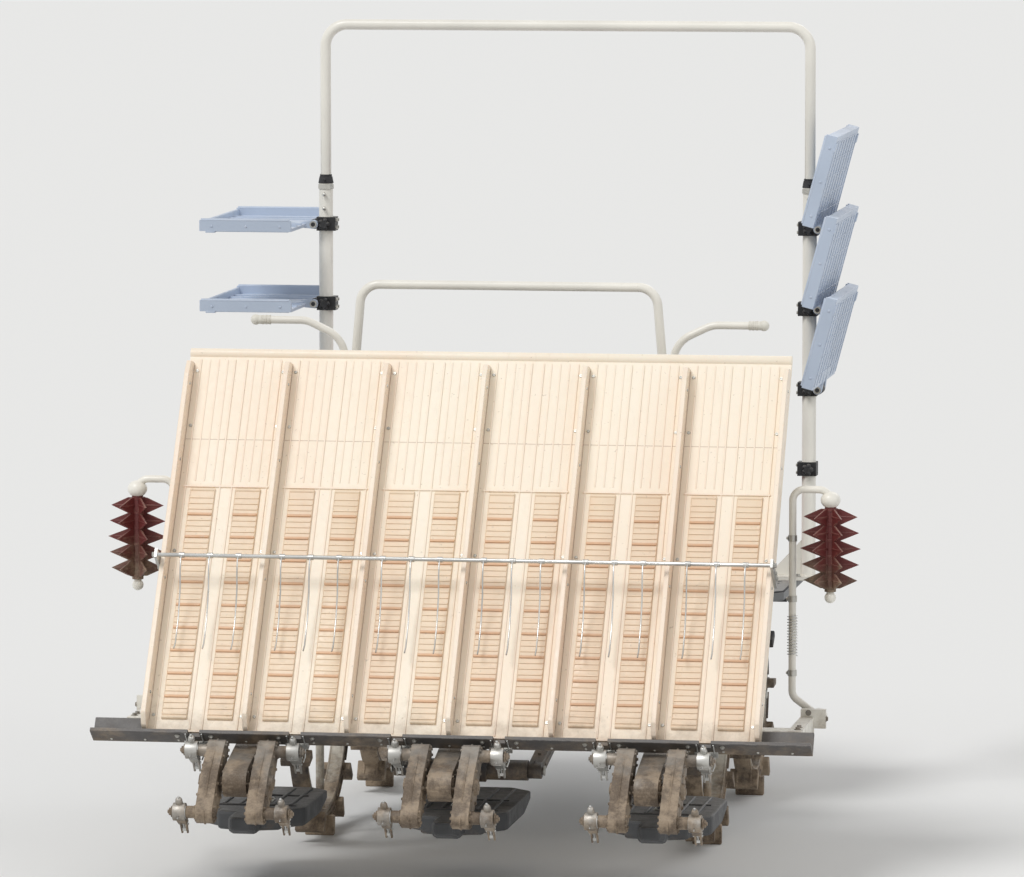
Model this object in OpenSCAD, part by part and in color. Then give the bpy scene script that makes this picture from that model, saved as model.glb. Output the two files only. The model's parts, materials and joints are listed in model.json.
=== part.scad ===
// Six-row riding rice transplanter, parked level on its four lugged wheels.
// +Y points forward, +X to the right and +Z up. The origin lies on the floor,
// midway between the ends and the sides of the machine.

/* [Wheels] */
// Distance from the rear axle to the front axle
wheelbase = 1050; // [1030:5:1080]
// Distance between the middles of the left and right tyres
track = 1200; // [1180:5:1220]
// Diameter of a rear wheel over its lugs
rear_wheel_d = 900; // [880:5:910]
// Diameter of a front wheel over its lugs
front_wheel_d = 650; // [630:5:656]
// Width of a tyre across its lugs
tyre_w = 90; // [70:2:92]
// Height of a lug over the rubber ring
lug_h = 46; // [30:1:52]
// Thickness of a lug at its root
lug_t = 30; // [20:1:36]
// Radial thickness of the rubber ring
ring_t = 24; // [16:1:30]
// Number of lugs on a rear tyre
rear_lugs = 16; // [12:1:18]
// Number of lugs on a front tyre
front_lugs = 12; // [10:1:14]

/* [Chassis] */
// Place of the rear axle along the machine
rear_axle_y = -85; // [-95:1:-75]
// Distance from the middle line to the middle of a chassis rail
rail_x = 190; // [186:1:196]
// Width of a chassis rail
rail_w = 60; // [50:1:64]
// Height of a chassis rail
rail_h = 70; // [60:1:76]
// Height of the underside of the rails over the floor
rail_z = 520; // [516:1:528]
// Height of the deck cross tubes
joist_h = 72; // [66:1:80]
// Thickness of the deck
deck_t = 28; // [20:1:34]
// Width of the main deck between the rear wheels
deck_w = 1000; // [960:4:1020]
// Width of the deck over the front wheels
step_w = 1490; // [1460:5:1500]

/* [Bonnet and seat] */
// Width of the bonnet
bonnet_w = 480; // [460:4:500]
// Height of the bonnet over the deck
bonnet_h = 460; // [440:5:480]
// Length of the bonnet from the front axle to its nose
bonnet_nose = 500; // [485:5:515]
// Thickness of the bonnet's shell
bonnet_t = 8; // [6:0.5:10]
// Width of the seat cushion
seat_w = 460; // [430:5:480]
// Thickness of the seat cushion
cushion_t = 80; // [70:2:90]
// Height of the seat base over the deck
seat_base_h = 270; // [250:5:290]
// Diameter of the steering wheel
steering_d = 380; // [360:5:400]

/* [Racks and rails] */
// Height of the top of the arch over the floor
arch_top = 2465; // [2430:5:2500]
// Distance from the middle line to an arch post
post_x = 780; // [778:1:800]
// Diameter of the arch tube
arch_d = 34; // [30:1:38]
// Diameter of the lower post sleeve
sleeve_d = 45; // [44:0.5:50]
// Height of the top of the sleeves
sleeve_top = 1940; // [1920:5:1960]
// Bend radius of the arch corners
arch_bend = 70; // [60:2:90]
// Height of the lowest shelf hinge
shelf_z = 1300; // [1280:5:1310]
// Distance between two shelf hinges
shelf_pitch = 255; // [252:1:260]
// Length of a shelf along the machine
shelf_l = 620; // [580:5:660]
// Reach of a shelf from its hinge
shelf_reach = 320; // [300:2:330]
// Height of a shelf's rim
shelf_rim = 36; // [28:1:40]
// Height of the top bar of the rear rail
hoop_top = 1720; // [1700:5:1740]
// Diameter of the rear rail's tube
hoop_d = 28; // [24:1:30]

/* [Lift links] */
// Length of the lift links between their pins
link_l = 600; // [595:1:606]
// Angle of the links below level at rest
link_drop = 10; // [9:0.5:11]
// Height of the lower link pin on the chassis
link_z = 440; // [436:1:444]
// Distance between the upper and the lower link pins
link_gap = 280; // [276:1:284]
// Radius of the lift crank
crank_r = 100; // [96:1:104]

/* [Planting unit] */
// Number of rows planted in one pass
rows = 6; // [6:1:6]
// Distance between two rows
row_pitch = 300; // [298:1:304]
// Angle of the seedling tray over level
tray_angle = 55; // [54:0.5:56]
// Length of the seedling tray along its slope
tray_l = 1290; // [1260:5:1310]
// Thickness of the tray panel
tray_t = 22; // [16:1:24]
// Thickness of a lane divider
divider_t = 15; // [10:1:18]
// Height of a lane divider
divider_h = 58; // [50:1:60]
// Length of a feed belt along the tray
belt_l = 760; // [700:10:780]
// Height of the tray's lower edge over the floor
tray_z = 470; // [468:1:478]
// Distance from the rear axle back to the tray's lower edge
tray_back = 1180; // [1176:1:1184]
// Distance from the rear axle back to the rotor shaft
rotor_back = 1316; // [1315:1:1322]
// Height of the rotor shaft over the floor
rotor_z = 352; // [350:1:356]
// Radius from the rotor shaft to a planting arm's pin
rotor_r = 120; // [116:1:121]
// Angle of the rotors at rest
rotor_angle = 40; // [30:1:50]
// Height of the floats' soles over the floor
float_z = 185; // [180:1:190]
// Thickness of a float
float_t = 56; // [46:1:60]

/* [Markers] */
// Distance from the middle line to a marker's pivot
marker_x = 1010; // [1008:1:1014]
// Height of a marker's pivot
marker_z = 480; // [478:1:486]
// Height of a folded marker's top
marker_top = 1165; // [1150:5:1180]
// Diameter of a marker's tube
marker_d = 22; // [18:1:23]
// Radius of a marker's spiked rotor
spike_r = 90; // [80:1:90]
// Number of spikes on each blade of a marker's rotor
spikes = 5; // [3:1:6]

/* [Hidden] */
$fn = 48;
// Gap between a moving piece and its seat
gap = 0.3;
// Gap that keeps two solids of one piece apart
split = 0.2;
// Radial clearance of a running shaft
run = 0.05;

front_axle_y = rear_axle_y + wheelbase;
front_r = front_wheel_d / 2;
rear_r = rear_wheel_d / 2;
rail_top = rail_z + rail_h;
joist_top = rail_top + joist_h;
deck_top = joist_top + deck_t;
rail_in = rail_x - rail_w / 2;
rail_out = rail_x + rail_w / 2;
rail_back_y = rear_axle_y - 315;
rail_front_y = front_axle_y + bonnet_nose - 25;
step_l = 145;
step_d = 135;
cross_w = 40;
rear_cross_w = 110;
mid_cross_y = front_axle_y - 660;
cross_spans = [[rail_back_y, rail_back_y + rear_cross_w], [mid_cross_y, mid_cross_y + cross_w],
    [rail_front_y - cross_w, rail_front_y]];
joist_w = 40;
deck_joist = deck_w / 2 - 20;
step_joist = step_w / 2 - 60;
gearbox_back_y = rear_axle_y + 465;
gearbox_front_y = front_axle_y - 265;
engine_l = 300;
engine_h = 290;
deck_back_y = rear_axle_y - 175;
step_back_y = front_axle_y - 345;
step_front_y = front_axle_y + 325;

// Front axle
kingpin_x = track / 2 - 100;
kingpin_r = 22;
case_r = 40;
boss_r = 42;
axle_beam_h = 70;
boss_bottom = rail_z - axle_beam_h - 5;
knuckle_top = boss_bottom - gap;
steer_arm = 130;
steer_pin_r = 8;
stub_r = 20;
steer_arm_z = boss_bottom - 45;
steer_arm_t = 20;

// Rear axle
axle_tube_r = 48;
axle_end_x = track / 2 - 80;
rear_stub_r = 24;
hub_half = tyre_w / 2;

// Seat and steering wheel
seat_front_y = rear_axle_y + 345;
seat_back_y = rear_axle_y - 75;
seat_z = deck_top + seat_base_h;
console_y = front_axle_y - 215;
bonnet_back = 165;
bonnet_back_y = front_axle_y - bonnet_back;
bonnet_step = 331;
column_angle = 30;
wheel_y = front_axle_y - 355;
wheel_h = 500;
wheel_z = deck_top + wheel_h;
column_r = 28;
shaft_r = 14;

// Bonnet outline seen from the right, as [y from the front axle, z over the deck]
bonnet_side = [[-bonnet_back, 0], [bonnet_step, 0], [bonnet_step, -90], [bonnet_nose - 30, -90],
    [bonnet_nose - 8, 10], [bonnet_nose - 38, 0.68 * bonnet_h], [bonnet_nose - 135, 0.93 * bonnet_h],
    [60 - bonnet_back, bonnet_h], [-bonnet_back, bonnet_h - 30]];
console_w = 340;
lamp_x = 150;
lamp_w = 110;
lamp_h = 64;
lamp_z = 225;

// Racks
post_y = front_axle_y + 50;
hinge_x = post_x + 32;
tier_z = [for (i = [0:2]) shelf_z + i * shelf_pitch];
shelf_fold = 75;
pin_r = 7;
lug_r = 16;
foot_t = 12;

// Lift links
link_y = rear_axle_y - 250;
upper_z = link_z + link_gap;
hitch_y = link_y - link_l * cos(link_drop);
hitch_z = link_z - link_l * sin(link_drop);
link_x = rail_x + 10;
link_w = 40;
link_h = 48;
link_pin_r = 12;
upper_pin_r = 10;
crank_lead = 16;
crank_y = link_y + crank_r * sin(crank_lead);
crank_z = upper_z - crank_r * cos(crank_lead);
roller_r = 16;
pad_y = crank_y + roller_r + gap;
pad_t = 10;
ram_r = 30;
rod_r = 14;
ram_back_y = rear_axle_y - 100;
ram_front_y = rear_axle_y + 70;

// Planting unit
beam_w = 70;
beam_front_y = hitch_y - 49;
beam_y = beam_front_y - beam_w / 2;
beam_back_y = beam_front_y - beam_w;
roll_z = hitch_z + 114;
beam_top = roll_z + beam_w / 2;
beam_half = marker_x - 10;
roll_r = 20;
tray_y = rear_axle_y - tray_back;
tray_half = rows * row_pitch / 2 + divider_t / 2;
rotor_y = rear_axle_y - rotor_back;
rotor_x = [for (i = [0:rows - 1]) (i - (rows - 1) / 2) * row_pitch];
case_x = [for (i = [0:rows / 2 - 1]) (rotor_x[2 * i] + rotor_x[2 * i + 1]) / 2];
row_side = [for (i = [0:rows - 1]) (i % 2 == 0) ? -1 : 1];
case_w = 70;
rotor_case_in = 49;
rotor_case_w = 50;
arm_w = 36;
shaft_cr = 15;
arm_pin_r = 12;
arm_boss_r = 26;
claw_y = 80;
claw_z = -72;
rail_lip = 12;
slide_u = 0.78 * tray_l;
support_x = 1.5 * row_pitch;
support_w = 40;

// Markers
marker_y = rear_axle_y - 595;
marker_in = marker_x - 80;
marker_leg_x = marker_x + 32;
leg_z = marker_top - 330;
marker_boss_r = 24;
marker_pin_r = 12;

// A straight round rod between two points
module rod(a, b, r) {
    d = b - a;
    l = norm(d);
    translate(a)
        rotate([0, acos(d[2] / l), atan2(d[1], d[0])])
            cylinder(h = l, r = r);
}

function unit(v) = v / norm(v);
function corner_angle(a, b, c) = acos(min(1, max(-1, unit(b - a) * unit(c - b))));
function trim(a, b, c, bend) = bend * tan(corner_angle(a, b, c) / 2);

// A round tube that follows points and bends with one radius at each of them
module tube_path(points, r, bend) {
    last = len(points) - 1;
    for (i = [0:last - 1]) {
        a = points[i];
        b = points[i + 1];
        d = unit(b - a);
        cut_a = (i == 0) ? 0 : trim(points[i - 1], a, b, bend);
        cut_b = (i == last - 1) ? 0 : trim(a, b, points[i + 2], bend);
        rod(a + d * cut_a, b - d * cut_b, r);
    }
    for (i = [1:last - 1])
        tube_bend(points[i - 1], points[i], points[i + 1], r, bend);
}

// One bend of a tube at point b, from the direction a-b to the direction b-c
module tube_bend(a, b, c, r, bend) {
    d = unit(b - a);
    e = unit(c - b);
    out = unit(d * (d * e) - e);
    n = cross(out, d);
    start = b - d * trim(a, b, c, bend);
    o = start - out * bend;
    multmatrix([[out[0], d[0], n[0], o[0]], [out[1], d[1], n[1], o[1]],
            [out[2], d[2], n[2], o[2]], [0, 0, 0, 1]])
        rotate_extrude(angle = corner_angle(a, b, c))
            translate([bend, 0])
                circle(r = r);
}

// A cylinder along X about its middle
module bar_x(r, l) {
    rotate([0, 90, 0])
        cylinder(r = r, h = l, center = true);
}

// A cylinder along Y from y = 0 to y = l
module bar_y(r, l) {
    rotate([-90, 0, 0])
        cylinder(r = r, h = l);
}

// A box given by its low and high corners
module block(low, high) {
    translate(low)
        cube(high - low);
}

// A side outline as [y, z] points, extruded across the machine
module side_plate(points, x, w) {
    translate([x - w / 2, 0, 0])
        rotate([90, 0, 90])
            linear_extrude(w)
                polygon(points);
}

// Draws the children on the right and mirrored on the left
module both_sides() {
    children();
    mirror([1, 0, 0])
        children();
}

module chassis_frame() {
    color("dimgray") {
        both_sides()
            block([rail_in, rail_back_y, rail_z], [rail_out, rail_front_y, rail_top]);
        for (span = cross_spans)
            block([-rail_in + split, span[0], rail_z], [rail_in - split, span[1], rail_top]);
        deck_joists();
        upper_link_bracket();
        both_sides()
            lower_link_bracket();
        front_bumper();
        tow_plate();
        both_sides()
            side_step();
    }
}

// A step hung under the deck between the wheels
module side_step() {
    x = deck_w / 2 - 38;
    y = rear_axle_y + 505;
    z = rail_z - 120;
    block([x, y, z], [x + step_d, y + step_l, z + 8]);
    for (end = [10, step_l - 40])
        block([x, y + end, z + 7], [x + 8, y + end + 30, joist_top - split]);
}

// Cross tubes that carry the deck on the rails
module deck_joists() {
    low = rail_top + split;
    high = joist_top - split;
    block([-deck_joist, rear_axle_y + 265, low], [deck_joist, rear_axle_y + 265 + joist_w, high]);
    block([-step_joist, front_axle_y - 295, low], [step_joist, front_axle_y - 295 + joist_w, high]);
    both_sides() {
        block([rail_in + 25, front_axle_y + 265, low], [step_joist, front_axle_y + 265 + joist_w, high]);
        block([rail_in, deck_back_y + 10, low], [deck_joist, deck_back_y + 10 + joist_w, high]);
    }
}

// Two ears on the rear cross member, with the upper link's pin
module upper_link_bracket() {
    ear = [[link_y - 40, rail_top + split], [link_y + 40, rail_top + split],
        [link_y + 22, upper_z + 22], [link_y - 22, upper_z + 22]];
    both_sides()
        side_plate(ear, 52, 12);
    translate([0, link_y, upper_z])
        bar_x(upper_pin_r, 116);
}

// A plate under the rail's inner edge, with the lower link's pin
module lower_link_bracket() {
    x = link_x - link_w / 2 - gap;
    plate = [[link_y - 34, rail_z - split], [link_y + 40, rail_z - split], [link_y + 26, link_z - 24],
        [link_y - 26, link_z - 24]];
    side_plate(plate, x - 8, 16);
    translate([x - 4 + link_w / 2 + 8, link_y, link_z])
        bar_x(link_pin_r, link_w + 24);
}

// A bent tube ahead of the rails
module front_bumper() {
    z = (rail_z + rail_top) / 2;
    y = rail_front_y + split;
    front = front_axle_y + bonnet_nose + 43;
    tube_path([[-rail_x, y, z], [-rail_x, front, z], [rail_x, front, z], [rail_x, y, z]], 17, 46);
}

// A flat tongue on the front cross member, bored for a pin
module tow_plate() {
    y = rail_front_y + split;
    z = (rail_z + rail_top) / 2;
    difference() {
        block([-38, y, z - 9], [38, y + 44, z + 9]);
        translate([0, y + 22, z - 20])
            cylinder(r = 11, h = 40);
    }
}

module front_axle_case() {
    color("gray")
        difference() {
            union() {
                block([-kingpin_x, front_axle_y - 34, rail_z - axle_beam_h],
                    [kingpin_x, front_axle_y + 34, rail_z]);
                both_sides()
                    translate([kingpin_x, front_axle_y, boss_bottom])
                        cylinder(r = boss_r, h = rail_z + 12 - boss_bottom);
                translate([0, front_axle_y, rail_z - axle_beam_h / 2])
                    sphere(r = 58);
                rod([0, front_axle_y, rail_z - axle_beam_h / 2],
                    [0, gearbox_front_y, rail_z - axle_beam_h / 2], 20);
            }
            both_sides()
                translate([kingpin_x, front_axle_y, boss_bottom - 1])
                    cylinder(r = kingpin_r + run, h = axle_beam_h);
            block([-200, front_axle_y - 80, rail_z], [200, front_axle_y + 80, rail_z + 60]);
        }
}

module rear_axle_case() {
    z = rear_r;
    color("gray")
        difference() {
            union() {
                translate([0, rear_axle_y, z])
                    bar_x(axle_tube_r, 2 * axle_end_x);
                both_sides()
                    translate([axle_end_x - 12, rear_axle_y, z])
                        bar_x(axle_tube_r + 16, 24);
                side_plate([[rear_axle_y - 95, z - 60], [rear_axle_y - 60, z - 100],
                    [rear_axle_y + 60, z - 100], [rear_axle_y + 125, z - 40],
                    [rear_axle_y + 125, z + 55], [rear_axle_y + 80, z + 66],
                    [rear_axle_y - 70, z + 66]], 0, 230);
                rod([0, rear_axle_y + 120, z], [0, gearbox_back_y, z], 38);
            }
            both_sides()
                translate([axle_end_x, rear_axle_y, z])
                    bar_x(rear_stub_r + run, 120);
        }
}

module gearbox() {
    y0 = gearbox_back_y;
    y1 = gearbox_front_y;
    color("gray")
        side_plate([[y0, rear_r - 60], [y0 + 50, rear_r - 130], [y1 - 60, rear_r - 130],
            [y1, rear_r - 70], [y1, rail_z + 30], [y1 - 50, rail_top - 5],
            [y0 + 60, rail_top - 5], [y0, rail_z + 20]], 0, 2 * rail_in - 2 * split);
}

module engine() {
    color("darkgray")
        block([-rail_x + 5, front_axle_y, rail_top],
            [rail_x - 5, front_axle_y + engine_l, rail_top + engine_h]);
}

// A closed outline with rounded corners, moved in by t
module soft_outline(points, r, t) {
    offset(r = r - t, $fn = 32)
        offset(delta = -r)
            polygon(points);
}

// The bonnet's solid form, moved in by t: its side, plan and front outlines together
module bonnet_form(t) {
    w = bonnet_w / 2;
    y = front_axle_y;
    z = deck_top;
    nose = y + bonnet_nose;
    plan = [[-w, bonnet_back_y - 55], [w, bonnet_back_y - 55], [w, nose - 170], [w - 12, nose - 60],
        [w - 40, nose - 18], [w - 90, nose], [-w + 90, nose], [-w + 40, nose - 18], [-w + 12, nose - 60],
        [-w, nose - 170]];
    front = [[-w, z - 200], [w, z - 200], [w, z + bonnet_h - 75], [w - 22, z + bonnet_h - 22],
        [w - 70, z + bonnet_h + 1], [-w + 70, z + bonnet_h + 1], [-w + 22, z + bonnet_h - 22],
        [-w, z + bonnet_h - 75]];
    intersection() {
        translate([-w + t, 0, 0])
            rotate([90, 0, 90])
                linear_extrude(2 * (w - t))
                    soft_outline([for (p = bonnet_side) [p[0] + y, p[1] + z]], 20, t);
        translate([0, 0, z - 150])
            linear_extrude(bonnet_h + 200)
                soft_outline(plan, 26, t);
        translate([0, nose + 100, 0])
            rotate([90, 0, 0])
                linear_extrude(bonnet_nose + 400)
                    soft_outline(front, 26, t);
    }
}

module bonnet() {
    front = front_axle_y + bonnet_nose;
    color("firebrick")
        difference() {
            bonnet_form(0);
            bonnet_form(bonnet_t);
            block([-bonnet_w / 2 + bonnet_t, bonnet_back_y + bonnet_t, deck_top - 1],
                [bonnet_w / 2 - bonnet_t, front_axle_y + bonnet_step + bonnet_t, deck_top + 2 * bonnet_t]);
            block([-bonnet_w / 2 + bonnet_t, front_axle_y + bonnet_step - 1, deck_top - 91],
                [bonnet_w / 2 - bonnet_t, front - 40, deck_top - 90 + 2 * bonnet_t]);
            for (i = [0:5])
                block([-150, front - 80, deck_top - 40 + i * 34], [150, front + 20, deck_top - 24 + i * 34]);
            both_sides() {
                block([lamp_x - lamp_w / 2 - gap, front - 100, deck_top + lamp_z - gap],
                    [lamp_x + lamp_w / 2 + gap, front + 20, deck_top + lamp_z + lamp_h + gap]);
                for (i = [0:5])
                    block([bonnet_w / 2 - bonnet_t - 1, front_axle_y + 30 + i * 42, deck_top + 90],
                        [bonnet_w / 2 + 1, front_axle_y + 48 + i * 42, deck_top + 250]);
            }
        }
}

module headlamps() {
    nose = front_axle_y + bonnet_nose;
    z = deck_top + lamp_z;
    color("lightcyan")
        both_sides()
            side_plate([[nose - 85, z], [nose - 22, z], [nose - 29, z + lamp_h], [nose - 85, z + lamp_h]],
                lamp_x, lamp_w);
}

// A tall prism between two places along the machine, with its rear corners rounded
module rounded_rear(half, back, front, r) {
    linear_extrude(2 * deck_top + bonnet_h)
        hull() {
            for (s = [-1, 1])
                translate([s * (half - r), back + r])
                    circle(r = r, $fn = 32);
            translate([-half, front - 1])
                square([2 * half, 1]);
        }
}

module dash_console() {
    y = console_y;
    top = [0, wheel_y, wheel_z];
    axis = [0, -sin(column_angle), cos(column_angle)];
    color("dimgray") {
        difference() {
            union() {
                intersection() {
                    side_plate([[y - 70, deck_top], [bonnet_back_y - gap, deck_top],
                        [bonnet_back_y - gap, deck_top + bonnet_h - 34], [y - 12, deck_top + bonnet_h + 24],
                        [y - 92, deck_top + bonnet_h - 18], [y - 58, deck_top + 200]], 0, console_w);
                    rounded_rear(console_w / 2, y - 93, bonnet_back_y, 38);
                }
                rod(top - 40 * axis, top - 210 * axis, column_r);
            }
            rod(top - 30 * axis, top - 150 * axis, shaft_r + run);
        }
        // Two hand levers beside the column
        both_sides() {
            lever_foot = [188, y - 30, deck_top + bonnet_h - 120];
            rod(lever_foot, lever_foot + [18, -46, 190], 7);
            translate(lever_foot + [18, -46, 190])
                sphere(r = 20);
            translate(lever_foot - [18 - split, 0, 0])
                rotate([0, 90, 0])
                    cylinder(r = 16, h = 26);
        }
        // Pedal on the left of the console
        rod([-120, y - 50, deck_top + 52], [-120, y - 150, deck_top + 86], 7);
        block([-160, y - 172, deck_top + 80], [-80, y - 140, deck_top + 92]);
    }
}

module steering_wheel() {
    ring_r = steering_d / 2 - 13;
    color("black")
        translate([0, wheel_y, wheel_z])
            rotate([column_angle, 0, 0]) {
                rotate_extrude()
                    translate([ring_r, 0])
                        circle(r = 13);
                translate([0, 0, -30])
                    cylinder(r = 34, h = 30);
                for (a = [90, 210, 330])
                    rotate([0, 0, a])
                        rod([20, 0, -18], [ring_r, 0, 0], 8);
                translate([0, 0, -140])
                    cylinder(r = shaft_r, h = 120);
            }
}

// The deck outline narrows between the rear wheels and widens over the front wheels
module deck() {
    a = deck_w / 2;
    b = step_w / 2;
    cut = bonnet_w / 2 - bonnet_t - 14;
    color("gray")
        translate([0, 0, joist_top])
            linear_extrude(deck_t)
                difference() {
                    polygon([[-a, deck_back_y], [a, deck_back_y], [a, step_back_y - 60],
                        [b - 40, step_back_y], [b, step_back_y + 40], [b, step_front_y - 40],
                        [b - 40, step_front_y], [-b + 40, step_front_y], [-b, step_front_y - 40],
                        [-b, step_back_y + 40], [-b + 40, step_back_y], [-a, step_back_y - 60]]);
                    translate([-cut, front_axle_y - 100])
                        square([2 * cut, 600]);
                }
}

module seat_base() {
    z = deck_top;
    color("dimgray") {
        intersection() {
            side_plate([[seat_back_y - 40, z], [seat_front_y - 70, z], [seat_front_y - 20, seat_z - 40],
                [seat_front_y - 40, seat_z], [seat_back_y + 40, seat_z], [seat_back_y - 60, seat_z - 50]],
                0, seat_w + 60);
            mirror([0, 1, 0])
                rounded_rear(seat_w / 2 + 30, -seat_front_y + 19, -seat_back_y + 61, 52);
        }
        both_sides()
            side_plate([[seat_back_y + 40, seat_z - 60], [seat_back_y + 70, seat_z - 60],
                [seat_back_y + 10, seat_z + 230], [seat_back_y - 14, seat_z + 226]],
                seat_w / 2 + 36 + split, 12);
    }
}

module seat() {
    back = [[seat_back_y + 46, seat_z + cushion_t * 0.55], [seat_back_y + 66, seat_z + cushion_t + 30],
        [seat_back_y + 10, seat_z + 430], [seat_back_y - 30, seat_z + 452], [seat_back_y - 62, seat_z + 420],
        [seat_back_y - 10, seat_z + cushion_t * 0.55]];
    color("saddlebrown") {
        side_plate([[seat_back_y + 60, seat_z], [seat_front_y - 30, seat_z],
            [seat_front_y + 8, seat_z + cushion_t * 0.5], [seat_front_y - 20, seat_z + cushion_t],
            [seat_back_y + 60, seat_z + cushion_t * 0.9]], 0, seat_w);
        side_plate(back, 0, seat_w + 60);
    }
}

module rear_rail() {
    y = rear_axle_y - 80;
    foot = deck_w / 2 - 18;
    r = hoop_d / 2;
    top = hoop_top - r;
    color("ivory") {
        tube_path([[-foot, y, deck_top + 4], [-foot + 8, y, top - 260], [-foot + 30, y, top],
            [foot - 30, y, top], [foot - 8, y, top - 260], [foot, y, deck_top + 4]], r, 60);
        both_sides() {
            block([foot - 26, y - 34, deck_top], [foot + 16, y + 34, deck_top + 8]);
            tube_path([[foot - 8, y, top - 300], [foot + 40, y, top - 160], [foot + 140, y, top - 112],
                [post_x, y, top - 112]], r * 0.85, 90);
            translate([post_x, y, top - 112])
                sphere(r = r * 1.1);
        }
    }
}

module rack_posts() {
    color("ivory")
        both_sides() {
            translate([post_x, post_y, deck_top + foot_t - 2])
                cylinder(d = sleeve_d, h = sleeve_top - deck_top - foot_t + 2);
            block([step_w / 2 - 105, post_y - 42, deck_top], [post_x + 26, post_y + 42, deck_top + foot_t]);
            side_web = [[step_w / 2 - 95, deck_top + foot_t - 1], [post_x, deck_top + foot_t - 1],
                [post_x, deck_top + 150]];
            translate([0, post_y + 5, 0])
                rotate([90, 0, 0])
                    linear_extrude(10)
                        polygon(side_web);
        }
}

module arch_tube() {
    top = arch_top - arch_d / 2;
    color("ivory")
        tube_path([[-post_x, post_y, sleeve_top], [-post_x, post_y, top], [post_x, post_y, top],
            [post_x, post_y, sleeve_top]], arch_d / 2, arch_bend);
}

// A clamp on the post with a shelf's hinge pin, and plain clamps below
module rack_brackets() {
    color("black")
        both_sides()
            for (z = concat(tier_z, [shelf_z - shelf_pitch]))
                rack_bracket(z, z > shelf_z - 1);
}

module rack_bracket(z, with_pin) {
    difference() {
        union() {
            block([post_x - sleeve_d / 2 - 12, post_y - 26, z - 22],
                [post_x + sleeve_d / 2 + 4, post_y + 26, z + 22]);
            if (with_pin) {
                translate([hinge_x, post_y - 30, z])
                    bar_y(lug_r, 60);
                translate([hinge_x, post_y - 60, z])
                    bar_y(pin_r, 120);
            }
        }
        translate([post_x, post_y, z - 40])
            cylinder(r = sleeve_d / 2 + split, h = 80);
    }
}

// One shelf, drawn level and pointing to +X from its hinge at the origin
module shelf() {
    half = shelf_l / 2;
    in_x = lug_r + 8;
    color("lightsteelblue")
        difference() {
            union() {
                block([in_x, -half, -8], [shelf_reach, half, 2]);
                for (s = [-1, 1])
                    block([in_x, s * (half - 5) - 5, -8], [shelf_reach, s * (half - 5) + 5, shelf_rim - 8]);
                block([shelf_reach - 10, -half, -8], [shelf_reach, half, shelf_rim - 16]);
                for (s = [-1, 1])
                    hull() {
                        translate([0, s * 45 - 10, 0])
                            bar_y(pin_r + 7, 20);
                        block([in_x, s * 45 - 10, -8], [in_x + 40, s * 45 + 10, 2]);
                    }
                for (y = [-200, -120, 120, 200])
                    block([in_x, y - 4, 0], [shelf_reach - 5, y + 4, 8]);
            }
            translate([0, -80, 0])
                bar_y(pin_r + run, 160);
        }
}

// Right shelves rest folded up, left shelves rest level
module shelf_right(tier) {
    translate([hinge_x, post_y, tier_z[tier]])
        rotate([0, -shelf_fold, 0])
            shelf();
}

module shelf_left(tier) {
    translate([-hinge_x, post_y, tier_z[tier]])
        mirror([1, 0, 0])
            shelf();
}

// The right knuckle: drop case, kingpin, wheel bearing and steering arm
module knuckle() {
    color("gray")
        difference() {
            union() {
                translate([kingpin_x, front_axle_y, front_r - 55])
                    cylinder(r = case_r, h = knuckle_top - front_r + 55);
                translate([kingpin_x, front_axle_y, front_r])
                    sphere(r = case_r + 8);
                translate([kingpin_x, front_axle_y, knuckle_top - 10])
                    cylinder(r = kingpin_r, h = axle_beam_h - 6);
                rod([kingpin_x, front_axle_y, front_r], [track / 2 - hub_half - 3, front_axle_y, front_r],
                    stub_r + 14);
                block([kingpin_x - 14, front_axle_y - steer_arm, steer_arm_z],
                    [kingpin_x + 14, front_axle_y, steer_arm_z + steer_arm_t]);
                translate([kingpin_x, front_axle_y - steer_arm, steer_arm_z])
                    cylinder(r = 18, h = steer_arm_t);
                translate([kingpin_x, front_axle_y - steer_arm, steer_arm_z])
                    cylinder(r = steer_pin_r, h = steer_arm_t + 26);
            }
            rod([kingpin_x - 4, front_axle_y, front_r], [track / 2, front_axle_y, front_r], stub_r + run);
        }
}

module tie_rod() {
    z = steer_arm_z + steer_arm_t + gap;
    y = front_axle_y - steer_arm;
    color("silver")
        difference() {
            union() {
                rod([-kingpin_x + 10, y, z + 11], [kingpin_x - 10, y, z + 11], 9);
                both_sides()
                    translate([kingpin_x, y, z])
                        cylinder(r = 16, h = 22);
            }
            both_sides()
                translate([kingpin_x, y, z - 1])
                    cylinder(r = steer_pin_r + run, h = 40);
        }
}

// A wheel disc about X with hub, spokes, band and axle stub towards -X
module rim(d, stub, stub_l, spokes) {
    band_r = d / 2 - lug_h - ring_t - split;
    color("silver")
        difference() {
            union() {
                difference() {
                    bar_x(band_r, 0.46 * tyre_w);
                    bar_x(band_r - 14, tyre_w);
                }
                bar_x(56, 2 * hub_half - 10);
                translate([-hub_half - stub_l / 2 + 10, 0, 0])
                    bar_x(stub, stub_l);
                for (i = [0:spokes - 1])
                    rotate([i * 360 / spokes, 0, 0])
                        rod([0, 0, 40], [0, 0, band_r - 6], 13);
            }
            for (i = [0:3])
                rotate([45 + i * 90, 0, 0])
                    translate([hub_half, 0, 38])
                        bar_x(5, 50);
        }
}

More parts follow.
